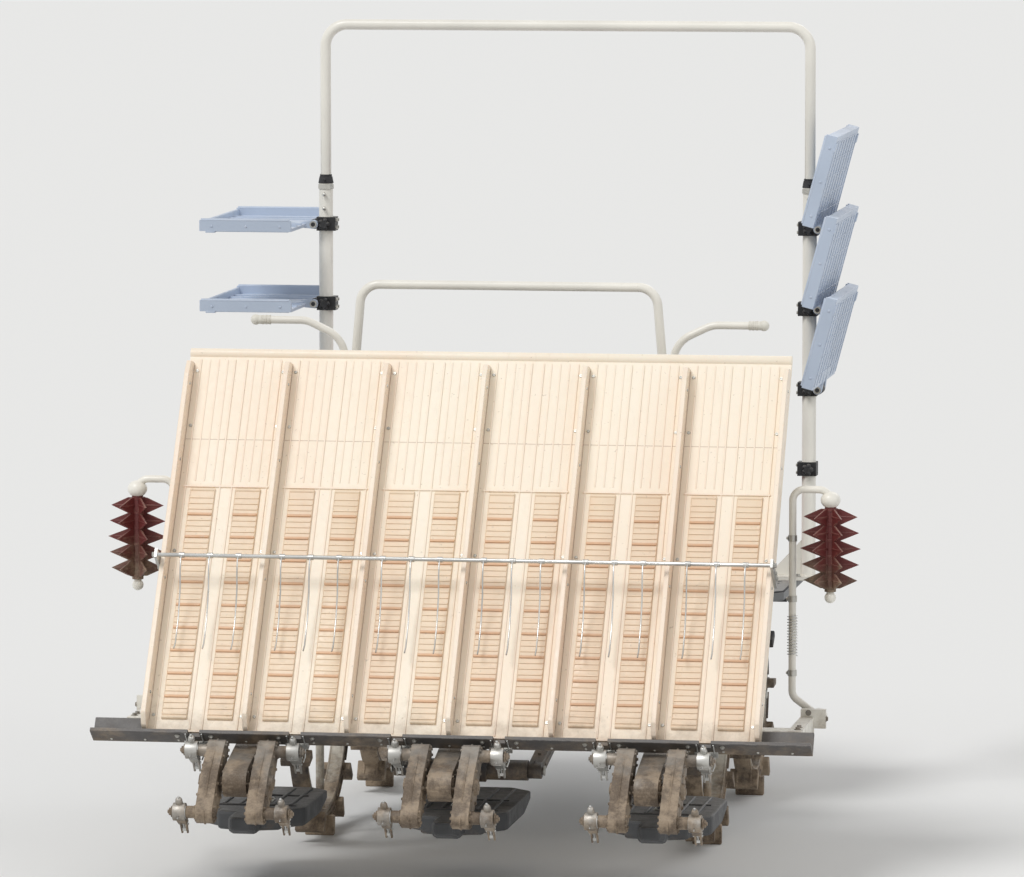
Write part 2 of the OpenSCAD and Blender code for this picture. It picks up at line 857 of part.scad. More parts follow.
// A rubber ring about X with raked lugs
module tyre(d, lugs) {
    in_r = d / 2 - lug_h - ring_t;
    color("black")
        difference() {
            intersection() {
                union() {
                    bar_x(in_r + ring_t, 0.5 * tyre_w);
                    for (i = [0:lugs - 1])
                        rotate([i * 360 / lugs, 0, 0])
                            rotate([90, 0, 90])
                                linear_extrude(tyre_w, center = true)
                                    polygon([[-lug_t / 2, -in_r - 8], [lug_t / 2, -in_r - 8],
                                        [lug_t / 3, -d / 2 - 2], [-lug_t / 3, -d / 2 - 2]]);
                }
                bar_x(d / 2, tyre_w + 2);
            }
            bar_x(in_r, tyre_w + 4);
        }
}

module front_rim() {
    translate([track / 2, front_axle_y, front_r])
        rim(front_wheel_d, stub_r, track / 2 - hub_half - kingpin_x + 8, 5);
}

module front_tyre() {
    translate([track / 2, front_axle_y, front_r])
        tyre(front_wheel_d, front_lugs);
}

module rear_rim() {
    translate([track / 2, rear_axle_y, rear_r])
        rim(rear_wheel_d, rear_stub_r, track / 2 - hub_half - axle_end_x + 60, 6);
}

module rear_tyre() {
    translate([track / 2, rear_axle_y, rear_r])
        tyre(rear_wheel_d, rear_lugs);
}

// Tilts the children down from the link's front pin by the links' rest angle
module at_link(z) {
    translate([0, link_y, z])
        rotate([link_drop, 0, 0])
            children();
}

module lower_links() {
    color("dimgray")
        difference() {
            union() {
                both_sides()
                    at_link(link_z) {
                        translate([link_x, 0, 0])
                            bar_x(link_h / 2, link_w);
                        block([link_x - link_w / 2, -link_l, -link_h / 2 + 4],
                            [link_x + link_w / 2, 0, link_h / 2 - 4]);
                        translate([link_x, -link_l, 0])
                            bar_x(link_h / 2, link_w);
                    }
                at_link(link_z)
                    translate([0, -0.42 * link_l, 0])
                        bar_x(16, 2 * link_x - link_w + 10);
            }
            for (l = [0, link_l])
                at_link(link_z)
                    translate([0, -l, 0])
                        bar_x(link_pin_r + run, 600);
        }
}

module upper_link() {
    color("dimgray")
        difference() {
            union() {
                at_link(upper_z) {
                    bar_x(24, 2 * (46 - gap));
                    block([-18, -link_l, -20], [18, 0, 20]);
                    translate([0, -link_l, 0])
                        bar_x(22, 42);
                }
                rod([0, link_y, upper_z], [0, crank_y, crank_z], 10);
                translate([0, crank_y, crank_z])
                    bar_x(roller_r, 36);
            }
            at_link(upper_z) {
                bar_x(upper_pin_r + run, 200);
                translate([0, -link_l, 0])
                    bar_x(upper_pin_r + run, 200);
            }
        }
}

module hitch() {
    back = beam_front_y + gap;
    top_z = hitch_z + link_gap;
    color("dimgray") {
        block([-60, back, hitch_z - 30], [60, back + 20, top_z + 36]);
        translate([0, hitch_y, hitch_z])
            bar_x(30, 2 * (link_x - link_w / 2 - gap));
        translate([0, hitch_y, hitch_z])
            bar_x(link_pin_r, 2 * (link_x + link_w / 2 + 6));
        block([-60, back + 1, hitch_z - 24], [60, hitch_y, hitch_z + 24]);
        both_sides()
            side_plate([[back + 10, top_z - 30], [hitch_y + 4, top_z - 22], [hitch_y + 22, top_z - 4],
                [hitch_y + 22, top_z + 14], [hitch_y, top_z + 24], [back + 10, top_z + 32]], 30, 14);
        translate([0, hitch_y, top_z])
            bar_x(upper_pin_r, 74);
        translate([0, beam_back_y + 1, roll_z])
            bar_y(roll_r, beam_w + 9);
    }
}

// The ram's barrel, bolted to the rear axle housing by its foot
module lift_ram() {
    z = crank_z;
    color("silver") {
        difference() {
            translate([0, ram_back_y, z])
                bar_y(ram_r, ram_front_y - ram_back_y);
            translate([0, ram_back_y - 1, z])
                bar_y(rod_r + gap, ram_front_y - ram_back_y - 20);
        }
        block([-45, ram_front_y - 50, rear_r + 66 + split], [45, ram_front_y, z - ram_r + 4]);
    }
}

module ram_rod() {
    color("lightgray") {
        translate([0, pad_y + pad_t - 1, crank_z])
            bar_y(rod_r, ram_front_y - 50 - pad_y - pad_t);
        block([-20, pad_y, crank_z - 24], [20, pad_y + pad_t, crank_z + 8]);
    }
}

// Cross beam of the planting unit with its roll bearing and the marker brackets
module planting_beam() {
    color("ivory") {
        difference() {
            block([-beam_half + 40, beam_back_y, roll_z - beam_w / 2],
                [beam_half - 40, beam_front_y, beam_top]);
            translate([0, beam_back_y - 1, roll_z])
                bar_y(roll_r + run, beam_w + 2);
        }
        both_sides() {
            block([beam_half - 40 + split, beam_back_y, roll_z - beam_w / 2 + 10],
                [beam_half, marker_y - 35, beam_top]);
            block([beam_half - 38, marker_y - 55, marker_z - 28],
                [marker_x + 26, marker_y - 35, marker_z + 28]);
            translate([marker_x, marker_y - 40, marker_z])
                bar_y(marker_pin_r, 66);
        }
    }
}

// Three planting cases behind the beam, joined by the drive tube
module planting_cases() {
    front = beam_back_y - split;
    nose_r = 44;
    color("sienna") {
        for (x = case_x)
            difference() {
                translate([x - case_w / 2, 0, 0])
                    rotate([90, 0, 90])
                        linear_extrude(case_w)
                            hull() {
                                translate([rotor_y, rotor_z])
                                    circle(r = nose_r, $fn = 24);
                                translate([front - 60, roll_z - beam_w / 2])
                                    square([60, beam_w - 12]);
                            }
                translate([x, rotor_y, rotor_z])
                    bar_x(shaft_cr + run, 200);
            }
        for (i = [0:len(case_x) - 2])
            translate([(case_x[i] + case_x[i + 1]) / 2, front - 34, roll_z - 4])
                bar_x(20, case_x[i + 1] - case_x[i] - case_w - 2 * split);
    }
}

// Moves the children to the tray's lower edge, with +Y up the slope and +Z off its face
module on_tray() {
    translate([0, tray_y, tray_z])
        rotate([tray_angle, 0, 0])
            children();
}

function tray_point(u, v) = [tray_y + u * cos(tray_angle) - v * sin(tray_angle),
    tray_z + u * sin(tray_angle) + v * cos(tray_angle)];

// Lower and upper slide rails on two uprights with gussets to the beam
module tray_support() {
    under = -tray_t - gap;
    end = -gap;
    half = tray_half + 150;
    color("dimgray") {
        on_tray() {
            difference() {
                union() {
                    block([-half, end - rail_lip, under - rail_lip], [half, end, 30]);
                    block([-half, end - rail_lip, under - rail_lip], [half, 60, under]);
                }
                for (x = rotor_x)
                    block([x - 17, end - rail_lip - 1, 6], [x + 17, end + 1, 40]);
            }
            block([-support_x - 60, slide_u, under - rail_lip], [support_x + 60, slide_u + 34, under]);
            both_sides()
                block([support_x - support_w / 2, 30, under - rail_lip - support_w],
                    [support_x + support_w / 2, slide_u + 60, under - rail_lip - split]);
        }
        low = tray_point(110, under - rail_lip - support_w);
        high = tray_point(330, under - rail_lip - support_w);
        both_sides()
            side_plate([[beam_back_y, beam_top], [beam_front_y, beam_top], high, low], support_x, 14);
    }
}

// Each float as [middle x, half width ahead, half width behind, front end, rear end]
float_table = [[-2 * row_pitch, 150, 95, 300, -350], [0, 150, 95, 380, -350],
    [2 * row_pitch, 150, 95, 300, -350]];
float_tail = rotor_case_in - 9;

module floats() {
    color("darkslategray")
        for (f = float_table)
            translate([f[0], 0, 0])
                float_body(f[1], f[2], beam_y + f[3], beam_y + f[4]);
}

// One float: upturned nose, wide body, a waist between two rows and a tail between the rotors
module float_body(wide, slim, front, back) {
    step = rotor_y + claw_y + rotor_r + 22;
    tail = rotor_y + rotor_r + 42;
    top = float_z + float_t;
    intersection() {
        side_plate([[back, float_z + 18], [back + 60, float_z], [front - 170, float_z],
            [front, float_z + 0.72 * float_t], [front, top], [back, top]], 0, 2 * wide);
        translate([0, 0, float_z - 1])
            linear_extrude(float_t + 2)
                polygon([[-float_tail + 12, back], [float_tail - 12, back], [float_tail, back + 30],
                    [float_tail, tail], [slim, tail + 20], [slim, step], [wide, step + 60],
                    [wide, front - 60], [wide - 60, front], [-wide + 60, front], [-wide, front - 60],
                    [-wide, step + 60], [-slim, step], [-slim, tail + 20], [-float_tail, tail],
                    [-float_tail, back + 30]]);
    }
    // Stay up to the beam
    translate([0, beam_y, 0])
        block([-22, -18, top - 1], [22, 18, roll_z - beam_w / 2 - split]);
}

module tray_panel() {
    color("linen")
        on_tray() {
            block([-tray_half, 0, -tray_t], [tray_half, tray_l, 0]);
            // Rolled lip along the upper edge
            translate([0, tray_l - 6, -6])
                bar_x(16, 2 * tray_half);
        }
}

module tray_dividers() {
    color("antiquewhite")
        on_tray()
            for (i = [0:rows])
                translate([(i - rows / 2) * row_pitch - divider_t / 2, 0, split])
                    rotate([90, 0, 90])
                        linear_extrude(divider_t)
                            polygon([[0, 0], [tray_l - 40, 0], [tray_l - 60, divider_h * 0.8],
                                [tray_l - 110, divider_h], [40, divider_h], [12, divider_h * 0.5]]);
}

// Two ribbed belts in the lower part of each lane
module feed_belts() {
    color("burlywood")
        on_tray()
            for (x = rotor_x)
                for (s = [-1, 1])
                    translate([x + s * 68, 0, 0])
                        block([-38, 50, split], [38, 50 + belt_l, 5]);
}

// The rod that holds the mats down, on a bracket at each end of the tray
module press_rod() {
    u = 0.42 * tray_l;
    v = divider_h + 34;
    edge = tray_half;
    color("silver")
        on_tray() {
            translate([0, u, v])
                bar_x(6, 2 * edge + 20);
            both_sides()
                block([edge + split, u - 14, -tray_t], [edge + 8, u + 14, v + 14]);
        }
}

// Rotor bodies on their shafts, with the arms' pins at both ends
module rotor_cases() {
    pin_in = rotor_case_in + rotor_case_w;
    pin_out = row_pitch / 2 + arm_w / 2 + 4;
    collar_out = row_pitch / 2 - arm_w / 2 - gap;
    color("slategray")
        for (c = case_x)
            translate([c, rotor_y, rotor_z]) {
                bar_x(shaft_cr, 2 * rotor_case_in + 20);
                for (s = [-1, 1])
                    rotate([rotor_angle, 0, 0]) {
                        translate([s * (rotor_case_in + rotor_case_w / 2) - rotor_case_w / 2, 0, 0])
                            rotate([90, 0, 90])
                                linear_extrude(rotor_case_w)
                                    hull() {
                                        circle(r = 46, $fn = 24);
                                        for (t = [-1, 1])
                                            translate([t * rotor_r, 0])
                                                circle(r = 32, $fn = 24);
                                    }
                        for (t = [-1, 1])
                            translate([0, t * rotor_r, 0]) {
                                rod([s * (pin_in - 20), 0, 0], [s * pin_out, 0, 0], arm_pin_r);
                                rod([s * (pin_in - 20), 0, 0], [s * collar_out, 0, 0], arm_pin_r + 6);
                            }
                    }
            }
}

// Planting arms on the pins at one end of every rotor
module arms(end) {
    y = end * rotor_r * cos(rotor_angle);
    z = end * rotor_r * sin(rotor_angle);
    color("gainsboro")
        for (x = rotor_x)
            translate([x, rotor_y + y, rotor_z + z])
                planting_arm();
}

// Arm body with its bearing, and the two-pronged planting claw
module planting_arm() {
    prong = [[claw_y - 34, claw_z + 34], [claw_y - 20, claw_z + 42], [claw_y + 2, claw_z],
        [claw_y - 4, claw_z - 2]];
    difference() {
        union() {
            bar_x(arm_boss_r, arm_w);
            translate([-13, 0, 0])
                rotate([90, 0, 90])
                    linear_extrude(26)
                        polygon([[-14, -24], [-4, 24], [34, 12], [claw_y - 18, claw_z + 46],
                            [claw_y - 38, claw_z + 30], [8, -26]]);
            for (s = [-1, 1])
                side_plate(prong, s * 8, 5);
        }
        bar_x(arm_pin_r + run, 100);
    }
}

module arms_a() {
    arms(1);
}

module arms_b() {
    arms(-1);
}

// The right marker, folded up: boss, cranked tube, top bend and rotor leg
module marker() {
    top = marker_top - marker_d / 2;
    color("ivory")
        difference() {
            union() {
                translate([marker_x, marker_y - 35 + gap, marker_z])
                    bar_y(marker_boss_r, 48);
                tube_path([[marker_x, marker_y, marker_z], [marker_in, marker_y, marker_z + 60],
                    [marker_in, marker_y, top], [marker_leg_x, marker_y, top],
                    [marker_leg_x, marker_y, leg_z]], marker_d / 2, 34);
                translate([marker_leg_x, marker_y, leg_z])
                    sphere(r = marker_d / 2 + 6);
                translate([marker_leg_x, marker_y, top - 46])
                    cylinder(r = 22, h = 12);
            }
            translate([marker_x, marker_y - 60, marker_z])
                bar_y(marker_pin_r + run, 120);
        }
}

// A hub with spiked blades that turns on the marker's leg
module marker_rotor() {
    low = leg_z + marker_d / 2 + 6 + gap;
    high = marker_top - marker_d / 2 - 46 - gap;
    hub_r = marker_d / 2 + 6;
    pitch = (high - low - 20) / spikes;
    edge = [for (i = [0:spikes - 1], t = [0:2])
        [t == 1 ? spike_r - 5 * abs(i - (spikes - 1) / 2) : hub_r + 12, low + 10 + (i + t / 2) * pitch]];
    color("darkred")
        translate([marker_leg_x, marker_y, 0])
            difference() {
                union() {
                    translate([0, 0, low])
                        cylinder(r = hub_r, h = high - low);
                    for (i = [0:5])
                        rotate([0, 0, i * 60])
                            rotate([90, 0, 0])
                                linear_extrude(5, center = true)
                                    polygon(concat([[hub_r - 2, low + 10]], edge, [[hub_r - 2, high - 10]]));
                }
                translate([0, 0, low - 1])
                    cylinder(r = marker_d / 2 + run, h = high - low + 2);
            }
}

chassis_frame();
front_axle_case();
rear_axle_case();
gearbox();
engine();
bonnet();
headlamps();
dash_console();
deck();
seat_base();
seat();
rear_rail();
rack_posts();
arch_tube();
rack_brackets();
lift_ram();
steering_wheel();
shelf_left(0);  // shelf_left_1
shelf_left(1);  // shelf_left_2
shelf_left(2);  // shelf_left_3
shelf_right(0);  // shelf_right_1
shelf_right(1);  // shelf_right_2
shelf_right(2);  // shelf_right_3
mirror([1, 0, 0]) knuckle();  // knuckle_left
knuckle();  // knuckle_right
tie_rod();
mirror([1, 0, 0]) front_rim();  // front_rim_left
mirror([1, 0, 0]) front_tyre();  // front_tyre_left
front_rim();  // front_rim_right
front_tyre();  // front_tyre_right
mirror([1, 0, 0]) rear_rim();  // rear_rim_left
mirror([1, 0, 0]) rear_tyre();  // rear_tyre_left
rear_rim();  // rear_rim_right
rear_tyre();  // rear_tyre_right
lower_links();
upper_link();
hitch();
ram_rod();
planting_beam();
planting_cases();
tray_support();
floats();
tray_panel();
tray_dividers();
feed_belts();
press_rod();
rotor_cases();
arms_a();
arms_b();
mirror([1, 0, 0]) marker();  // marker_left
marker();  // marker_right
mirror([1, 0, 0]) marker_rotor();  // marker_rotor_left
marker_rotor();  // marker_rotor_right
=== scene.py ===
"""Looks of the six-row riding rice transplanter, in metres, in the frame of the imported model.

+Y is the front, +X the right, +Z up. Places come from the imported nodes' boxes and joints where these give
them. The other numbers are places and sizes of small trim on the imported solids' faces.
"""

import json
import math
from itertools import product

import bmesh
import bpy
from mathutils import Matrix, Vector


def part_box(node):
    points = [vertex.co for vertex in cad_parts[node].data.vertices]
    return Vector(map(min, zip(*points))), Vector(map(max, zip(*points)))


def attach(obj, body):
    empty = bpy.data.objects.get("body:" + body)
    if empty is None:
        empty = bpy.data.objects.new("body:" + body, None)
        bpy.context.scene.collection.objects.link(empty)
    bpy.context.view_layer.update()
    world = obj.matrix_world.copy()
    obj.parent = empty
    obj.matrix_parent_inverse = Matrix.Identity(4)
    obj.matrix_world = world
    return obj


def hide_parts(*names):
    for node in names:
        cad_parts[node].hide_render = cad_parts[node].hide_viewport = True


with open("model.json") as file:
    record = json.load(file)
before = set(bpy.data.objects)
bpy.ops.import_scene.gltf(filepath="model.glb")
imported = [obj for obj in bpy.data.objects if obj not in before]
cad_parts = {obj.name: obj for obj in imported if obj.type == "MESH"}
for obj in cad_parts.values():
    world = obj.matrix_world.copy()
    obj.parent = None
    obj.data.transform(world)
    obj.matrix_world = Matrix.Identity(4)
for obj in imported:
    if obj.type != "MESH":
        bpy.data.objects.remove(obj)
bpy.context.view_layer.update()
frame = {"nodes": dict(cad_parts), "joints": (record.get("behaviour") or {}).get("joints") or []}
nodes = frame["nodes"]
joints = {j["name"]: j for j in frame["joints"]}

# Places taken from the frame


def pivot(joint):
    return Vector(joints[joint]["pos_m"])


REAR_AXLE = pivot("spin_rear_right")
FRONT_AXLE = pivot("spin_front_right")
KINGPIN_X = pivot("steer_right").x
COLUMN = pivot("steering_column")
COLUMN_AXIS = Vector(joints["steering_column"]["axis"]).normalized()
LIFT = pivot("lift")
UPPER_LINK = pivot("upper_link_pin")
HITCH = pivot("hitch_pin")
BEAM_Z = pivot("roll").z
ROTOR = pivot("rotor_spin")
MARKER = pivot("marker_right_fold")
SPIKES_X = pivot("marker_right_spin").x
DECK_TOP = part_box("deck")[1].z

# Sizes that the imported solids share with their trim
SIDES = (-1, 1)
SIDE_NAMES = {"left": -1, "right": 1}
X, Y, Z = Vector((1, 0, 0)), Vector((0, 1, 0)), Vector((0, 0, 1))
ROW_PITCH = 0.3
ROWS = [(i - 2.5) * ROW_PITCH for i in range(6)]
CASES = [-0.6, 0.0, 0.6]
TRAY_ANGLE = math.radians(55)
TRAY_FOOT_Z = 0.47
TRAY_T = 0.022
TRAY_L = 1.29
BELT_END = (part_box("feed_belts")[1].z - TRAY_FOOT_Z) / math.sin(TRAY_ANGLE)
BELTS = [lane + s * 0.068 for lane in ROWS for s in SIDES]
BEAM_BACK = -1.045
BEAM_DEPTH = 0.07
ROTOR_ANGLE = math.radians(40)
POST_X, POST_Y = 0.78, 1.015
BRACKETS_Z = (1.045, 1.3, 1.555, 1.81)
HOOP_X, HOOP_Y = 0.482, -0.165
BONNET_HALF = 0.24
CONSOLE_HALF = 0.1695
SHELVES = [f"shelf_{side}_{tier}" for side in SIDE_NAMES for tier in (1, 2, 3)]


# Materials


class Tree:
    """A node tree under construction, with short calls for the nodes used here."""

    def __init__(self, tree):
        self.tree = tree

    def feed(self, socket, value):
        """Links an output to a socket, or sets the socket to a number or a colour."""
        if isinstance(value, bpy.types.NodeSocket):
            self.tree.links.new(value, socket)
        elif socket.type == "RGBA":
            socket.default_value = (*value, 1.0)
        else:
            socket.default_value = value

    def add(self, kind, output, inputs=None, **settings):
        """Makes a node with its settings and inputs, and gives one of its outputs."""
        node = self.tree.nodes.new(kind)
        for key, value in settings.items():
            setattr(node, key, value)
        for key, value in (inputs or {}).items():
            self.feed(node.inputs[key], value)
        return node.outputs[output]

    def math(self, operation, a, b):
        return self.add("ShaderNodeMath", "Value", {0: a, 1: b}, operation=operation)

    def plus(self, a, b):
        return self.math("ADD", a, b)

    def times(self, a, b):
        return self.math("MULTIPLY", a, b)


class Shader(Tree):
    """A material under construction."""

    def __init__(self, name):
        self.material = bpy.data.materials.new(name)
        self.material.use_nodes = True
        super().__init__(self.material.node_tree)
        self.surface = self.tree.nodes["Principled BSDF"].inputs
        self.coord = self.add("ShaderNodeTexCoord", "Object")

    def noise(self, scale, detail=4.0, rough=0.55, stretch=(1, 1, 1)):
        place = self.add("ShaderNodeMapping", "Vector", {"Scale": stretch, "Vector": self.coord})
        return self.add("ShaderNodeTexNoise", "Fac", {"Scale": scale, "Detail": detail, "Roughness": rough,
                                                      "Vector": place})

    def ramp(self, source, low, high, out_low=0.0, out_high=1.0):
        return self.add("ShaderNodeMapRange", "Result",
                        {"Value": source, "From Min": low, "From Max": high, "To Min": out_low,
                         "To Max": out_high}, interpolation_type="SMOOTHSTEP")

    def mix(self, factor, a, b, kind="RGBA"):
        return self.add("ShaderNodeMix", "Result", {"Factor": factor, "A": a, "B": b}, data_type=kind)

    def height(self):
        return self.add("ShaderNodeSeparateXYZ", "Z", {"Vector": self.coord})

    def normal(self):
        return self.add("ShaderNodeNewGeometry", "Normal")

    def facing_up(self):
        return self.ramp(self.add("ShaderNodeSeparateXYZ", "Z", {"Vector": self.normal()}), 0.3, 0.95)

    def edges(self, radius=0.006):
        """1 on sharp edges, fading to 0 within the radius."""
        bevel = self.add("ShaderNodeBevel", "Normal", {"Radius": radius}, samples=4)
        normals = {0: bevel, 1: self.normal()}
        dot = self.add("ShaderNodeVectorMath", "Value", normals, operation="DOT_PRODUCT")
        return self.ramp(dot, 0.995, 0.9)

    def soil(self):
        """Tone of caked mud: wet and dry patches with crumbs of crust."""
        patch = self.ramp(self.noise(15, 8, 0.68), 0.42, 0.6)
        crumbs = self.ramp(self.noise(190, 5, 0.7), 0.44, 0.64, 0, 0.5)
        return self.mix(crumbs, self.mix(patch, MUD_WET, MUD_DRY), MUD_CRUST)

    def mud(self, tone, top, fade, splash=(9, 7, 0.68), reach=(1.5, 1.1, 0.45), clot=60):
        """Caked mud below a height: the tone under mud, where the mud lies, and its clots."""
        level = self.plus(self.height(), self.times(self.noise(*splash), fade * reach[0]))
        mask = self.ramp(level, top + fade * reach[1], top + fade * reach[2])
        return self.mix(mask, tone, self.soil()), mask, self.noise(clot, 6, 0.7)

    def bump(self, height, distance, strength=1.0):
        self.feed(self.surface["Normal"], self.add(
            "ShaderNodeBump", "Normal", {"Strength": strength, "Distance": distance, "Height": height}))

    def finish(self, colour, roughness, metallic=0.0, **more):
        """Sets the surface, where more holds sockets with their names in capitals and underscores."""
        values = {"Base Color": colour, "Roughness": roughness, "Metallic": metallic}
        values.update((key.replace("_", " "), value) for key, value in more.items())
        for key, value in values.items():
            self.feed(self.surface[key], value)
        return self.material


MUD_DRY = (0.33, 0.255, 0.18)
MUD_CRUST = (0.23, 0.175, 0.12)
MUD_WET = (0.115, 0.083, 0.056)
DUST = (0.56, 0.49, 0.4)
RUST = (0.27, 0.12, 0.055)
SPLASH = (0.4, 0.31, 0.22)
SPLASH_SPOT = (0.5, 0.41, 0.31)


def dim(colour, share, lift=0.0):
    return tuple(min(1, c * share + lift) for c in colour)


def painted(name, colour, rough=0.38, wear=(0.24, 0.22, 0.2), wear_amount=0.55, dust=0.25,
            mud_top=0.0, mud_fade=0.25, peel=0.00025, coat=0.0):
    """Paint or moulded plastic: tone drift, worn edges, dust on top faces and mud below a height."""
    s = Shader(name)
    drift = s.noise(2.3, 3)
    fine = s.noise(26, 6, 0.62)
    streak = s.noise(11, 5, 0.6, (1, 1, 0.12))
    speck = s.noise(170, 5, 0.7)
    tone = s.mix(s.ramp(drift, 0.35, 0.68), colour, dim(colour, 0.88))
    tone = s.mix(s.ramp(streak, 0.55, 0.8, 0, 0.22), tone, dim(colour, 0.72))
    dusty = s.plus(s.ramp(drift, 0.3, 0.75, 0.25, 0.6), s.ramp(speck, 0.42, 0.7, -0.15, 0.4))
    tone = s.mix(s.times(s.times(dusty, s.facing_up()), dust), tone, DUST)
    worn = s.times(s.edges(), s.ramp(fine, 0.45, 0.6))
    tone = s.mix(s.times(worn, wear_amount), tone, wear)
    roughness = s.ramp(fine, 0.3, 0.7, rough * 0.88, min(0.95, rough * 1.2))
    relief = s.times(s.noise(420, 3), 0.5)
    if mud_top > 0:
        tone, mask, clot = s.mud(tone, mud_top, mud_fade)
        roughness = s.mix(mask, roughness, s.ramp(clot, 0.3, 0.7, 0.45, 0.85), "FLOAT")
        relief = s.plus(relief, s.times(s.times(mask, clot), 9.0))
    s.bump(relief, peel)
    if coat:
        return s.finish(tone, roughness, Coat_Weight=coat, Coat_Roughness=0.12)
    return s.finish(tone, roughness)


def bare_metal(name, colour, rough=0.4, mud_top=0.0, mud_fade=0.25, rust=0.15):
    """Cast or machined metal with stains, a little rust and mud below a height."""
    s = Shader(name)
    cloud = s.noise(5, 5)
    fine = s.noise(38, 6, 0.65)
    tone = s.mix(s.ramp(cloud, 0.35, 0.65), colour, dim(colour, 0.72))
    tone = s.mix(s.times(s.ramp(fine, 0.62, 0.74), rust), tone, RUST)
    metal = s.ramp(fine, 0.56, 0.72, 0.9, 0.54)
    roughness = s.ramp(cloud, 0.3, 0.7, rough * 0.8, min(0.95, rough * 1.35))
    relief = s.times(s.noise(260, 4, 0.6), 0.6)
    if mud_top > 0:
        tone, mask, clot = s.mud(tone, mud_top, mud_fade)
        metal = s.mix(mask, metal, 0.0, "FLOAT")
        relief = s.plus(relief, s.times(s.times(mask, clot), 8.0))
    s.bump(relief, 0.0003)
    return s.finish(tone, roughness, metal)


def rubber(name, colour, mud_top=0.0, mud_fade=0.4):
    """Rubber with a dusty bloom and mud in its lower part."""
    s = Shader(name)
    bloom = s.noise(14, 5, 0.6)
    tone = s.mix(s.ramp(bloom, 0.4, 0.7), colour, dim(colour, 1.9, 0.02))
    relief = s.times(s.noise(150, 5, 0.6), 0.7)
    if mud_top > 0:
        tone, mask, clot = s.mud(tone, mud_top, mud_fade, (7, 7, 0.7), (1.4, 1, 0.4), 48)
        relief = s.plus(relief, s.times(s.times(mask, clot), 10.0))
    s.bump(relief, 0.0003)
    return s.finish(tone, s.ramp(bloom, 0.3, 0.7, 0.62, 0.9))


def tray_plastic(name, colour, tint):
    """Moulded tray plastic: flow drift along the lane, scuffs, brown splashes near the lower edge."""
    s = Shader(name)
    flow = s.noise(3.2, 4, 0.55, (1, 0.25, 0.25))
    scuff = s.noise(34, 7, 0.72, (1, 0.18, 0.18))
    fine = s.noise(70, 5, 0.6)
    tone = s.mix(s.ramp(flow, 0.35, 0.7), colour, tint)
    tone = s.mix(s.ramp(scuff, 0.56, 0.72, 0, 0.3), tone, dim(tint, 0.84))
    level = s.plus(s.height(), s.times(s.noise(13, 7, 0.7), 0.34))
    tone = s.mix(s.ramp(level, 0.74, 0.58, 0, 0.62), tone, SPLASH)
    tone = s.mix(s.ramp(s.noise(95, 3, 0.5), 0.68, 0.74, 0, 0.5), tone, SPLASH_SPOT)
    s.bump(s.times(fine, 0.6), 0.0003)
    return s.finish(tone, s.ramp(fine, 0.3, 0.7, 0.34, 0.52), Subsurface_Weight=0.04,
                    Subsurface_Radius=(0.01, 0.006, 0.004))


def vinyl(name, colour):
    """Seat vinyl with a pebbled grain, rubbed high spots and a little dust."""
    s = Shader(name)
    pebbles = s.add("ShaderNodeTexVoronoi", "Distance", {"Scale": 420, "Vector": s.coord},
                    feature="DISTANCE_TO_EDGE")
    rub = s.noise(6, 5, 0.6)
    tone = s.mix(s.ramp(rub, 0.42, 0.7), colour, dim(colour, 1.7, 0.012))
    dusty = s.times(s.ramp(s.noise(9, 4, 0.5), 0.38, 0.75, 0.03, 0.16), s.facing_up())
    tone = s.mix(dusty, tone, DUST)
    tone = s.mix(s.ramp(s.noise(240, 5, 0.7), 0.55, 0.75, 0, 0.12), tone, DUST)
    s.bump(s.ramp(pebbles, 0.0, 0.22), 0.0004, 0.7)
    return s.finish(tone, s.ramp(rub, 0.3, 0.7, 0.36, 0.58))


def lens(name):
    """Clear ribbed lamp glass."""
    s = Shader(name)
    wave = s.add("ShaderNodeTexWave", "Fac", {"Scale": 40, "Vector": s.coord}, wave_type="BANDS",
                 bands_direction="X")
    s.bump(wave, 0.0012, 0.8)
    haze = s.noise(20, 4)
    return s.finish(s.mix(s.ramp(haze, 0.4, 0.7, 0, 0.3), (0.93, 0.95, 0.96), (0.8, 0.76, 0.68)),
                    s.ramp(haze, 0.3, 0.7, 0.05, 0.2), Transmission_Weight=0.85, IOR=1.47)


IVORY = painted("ivory_tube", (0.87, 0.845, 0.77), 0.34, dust=0.3, wear=(0.3, 0.24, 0.18), coat=0.2)
IVORY_WORN = painted("ivory_worn", (0.8, 0.78, 0.7), 0.5, dust=0.35, wear=(0.35, 0.3, 0.24))
IVORY_LOW = painted("ivory_low", (0.85, 0.825, 0.75), 0.4, dust=0.3, wear=(0.3, 0.24, 0.18), mud_top=0.42,
                    mud_fade=0.22)
RED = painted("red_panel", (0.4, 0.026, 0.02), 0.36, dust=0.22, wear=(0.5, 0.32, 0.27), wear_amount=0.3,
              coat=0.2)
DARK_PAINT = painted("dark_paint", (0.06, 0.06, 0.065), 0.42, wear=(0.32, 0.31, 0.3), mud_top=0.3,
                     mud_fade=0.3)
RAIL_PAINT = painted("rail_paint", (0.085, 0.08, 0.078), 0.45, wear=(0.35, 0.33, 0.31), mud_top=0.44,
                     mud_fade=0.16)
DARK_PLASTIC = painted("dark_plastic", (0.045, 0.046, 0.05), 0.55, wear=(0.16, 0.16, 0.16), wear_amount=0.4,
                       dust=0.35, peel=0.0006)
BLACK_PLASTIC = painted("black_plastic", (0.02, 0.02, 0.022), 0.5, wear=(0.13, 0.13, 0.13), wear_amount=0.4,
                        peel=0.0006)
DECK_GREY = painted("deck_grey", (0.17, 0.175, 0.18), 0.6, wear=(0.36, 0.35, 0.33), dust=0.6, peel=0.0008)
SHELF_BLUE = painted("shelf_blue", (0.52, 0.6, 0.73), 0.42, wear=(0.72, 0.74, 0.78), wear_amount=0.4,
                     dust=0.2)
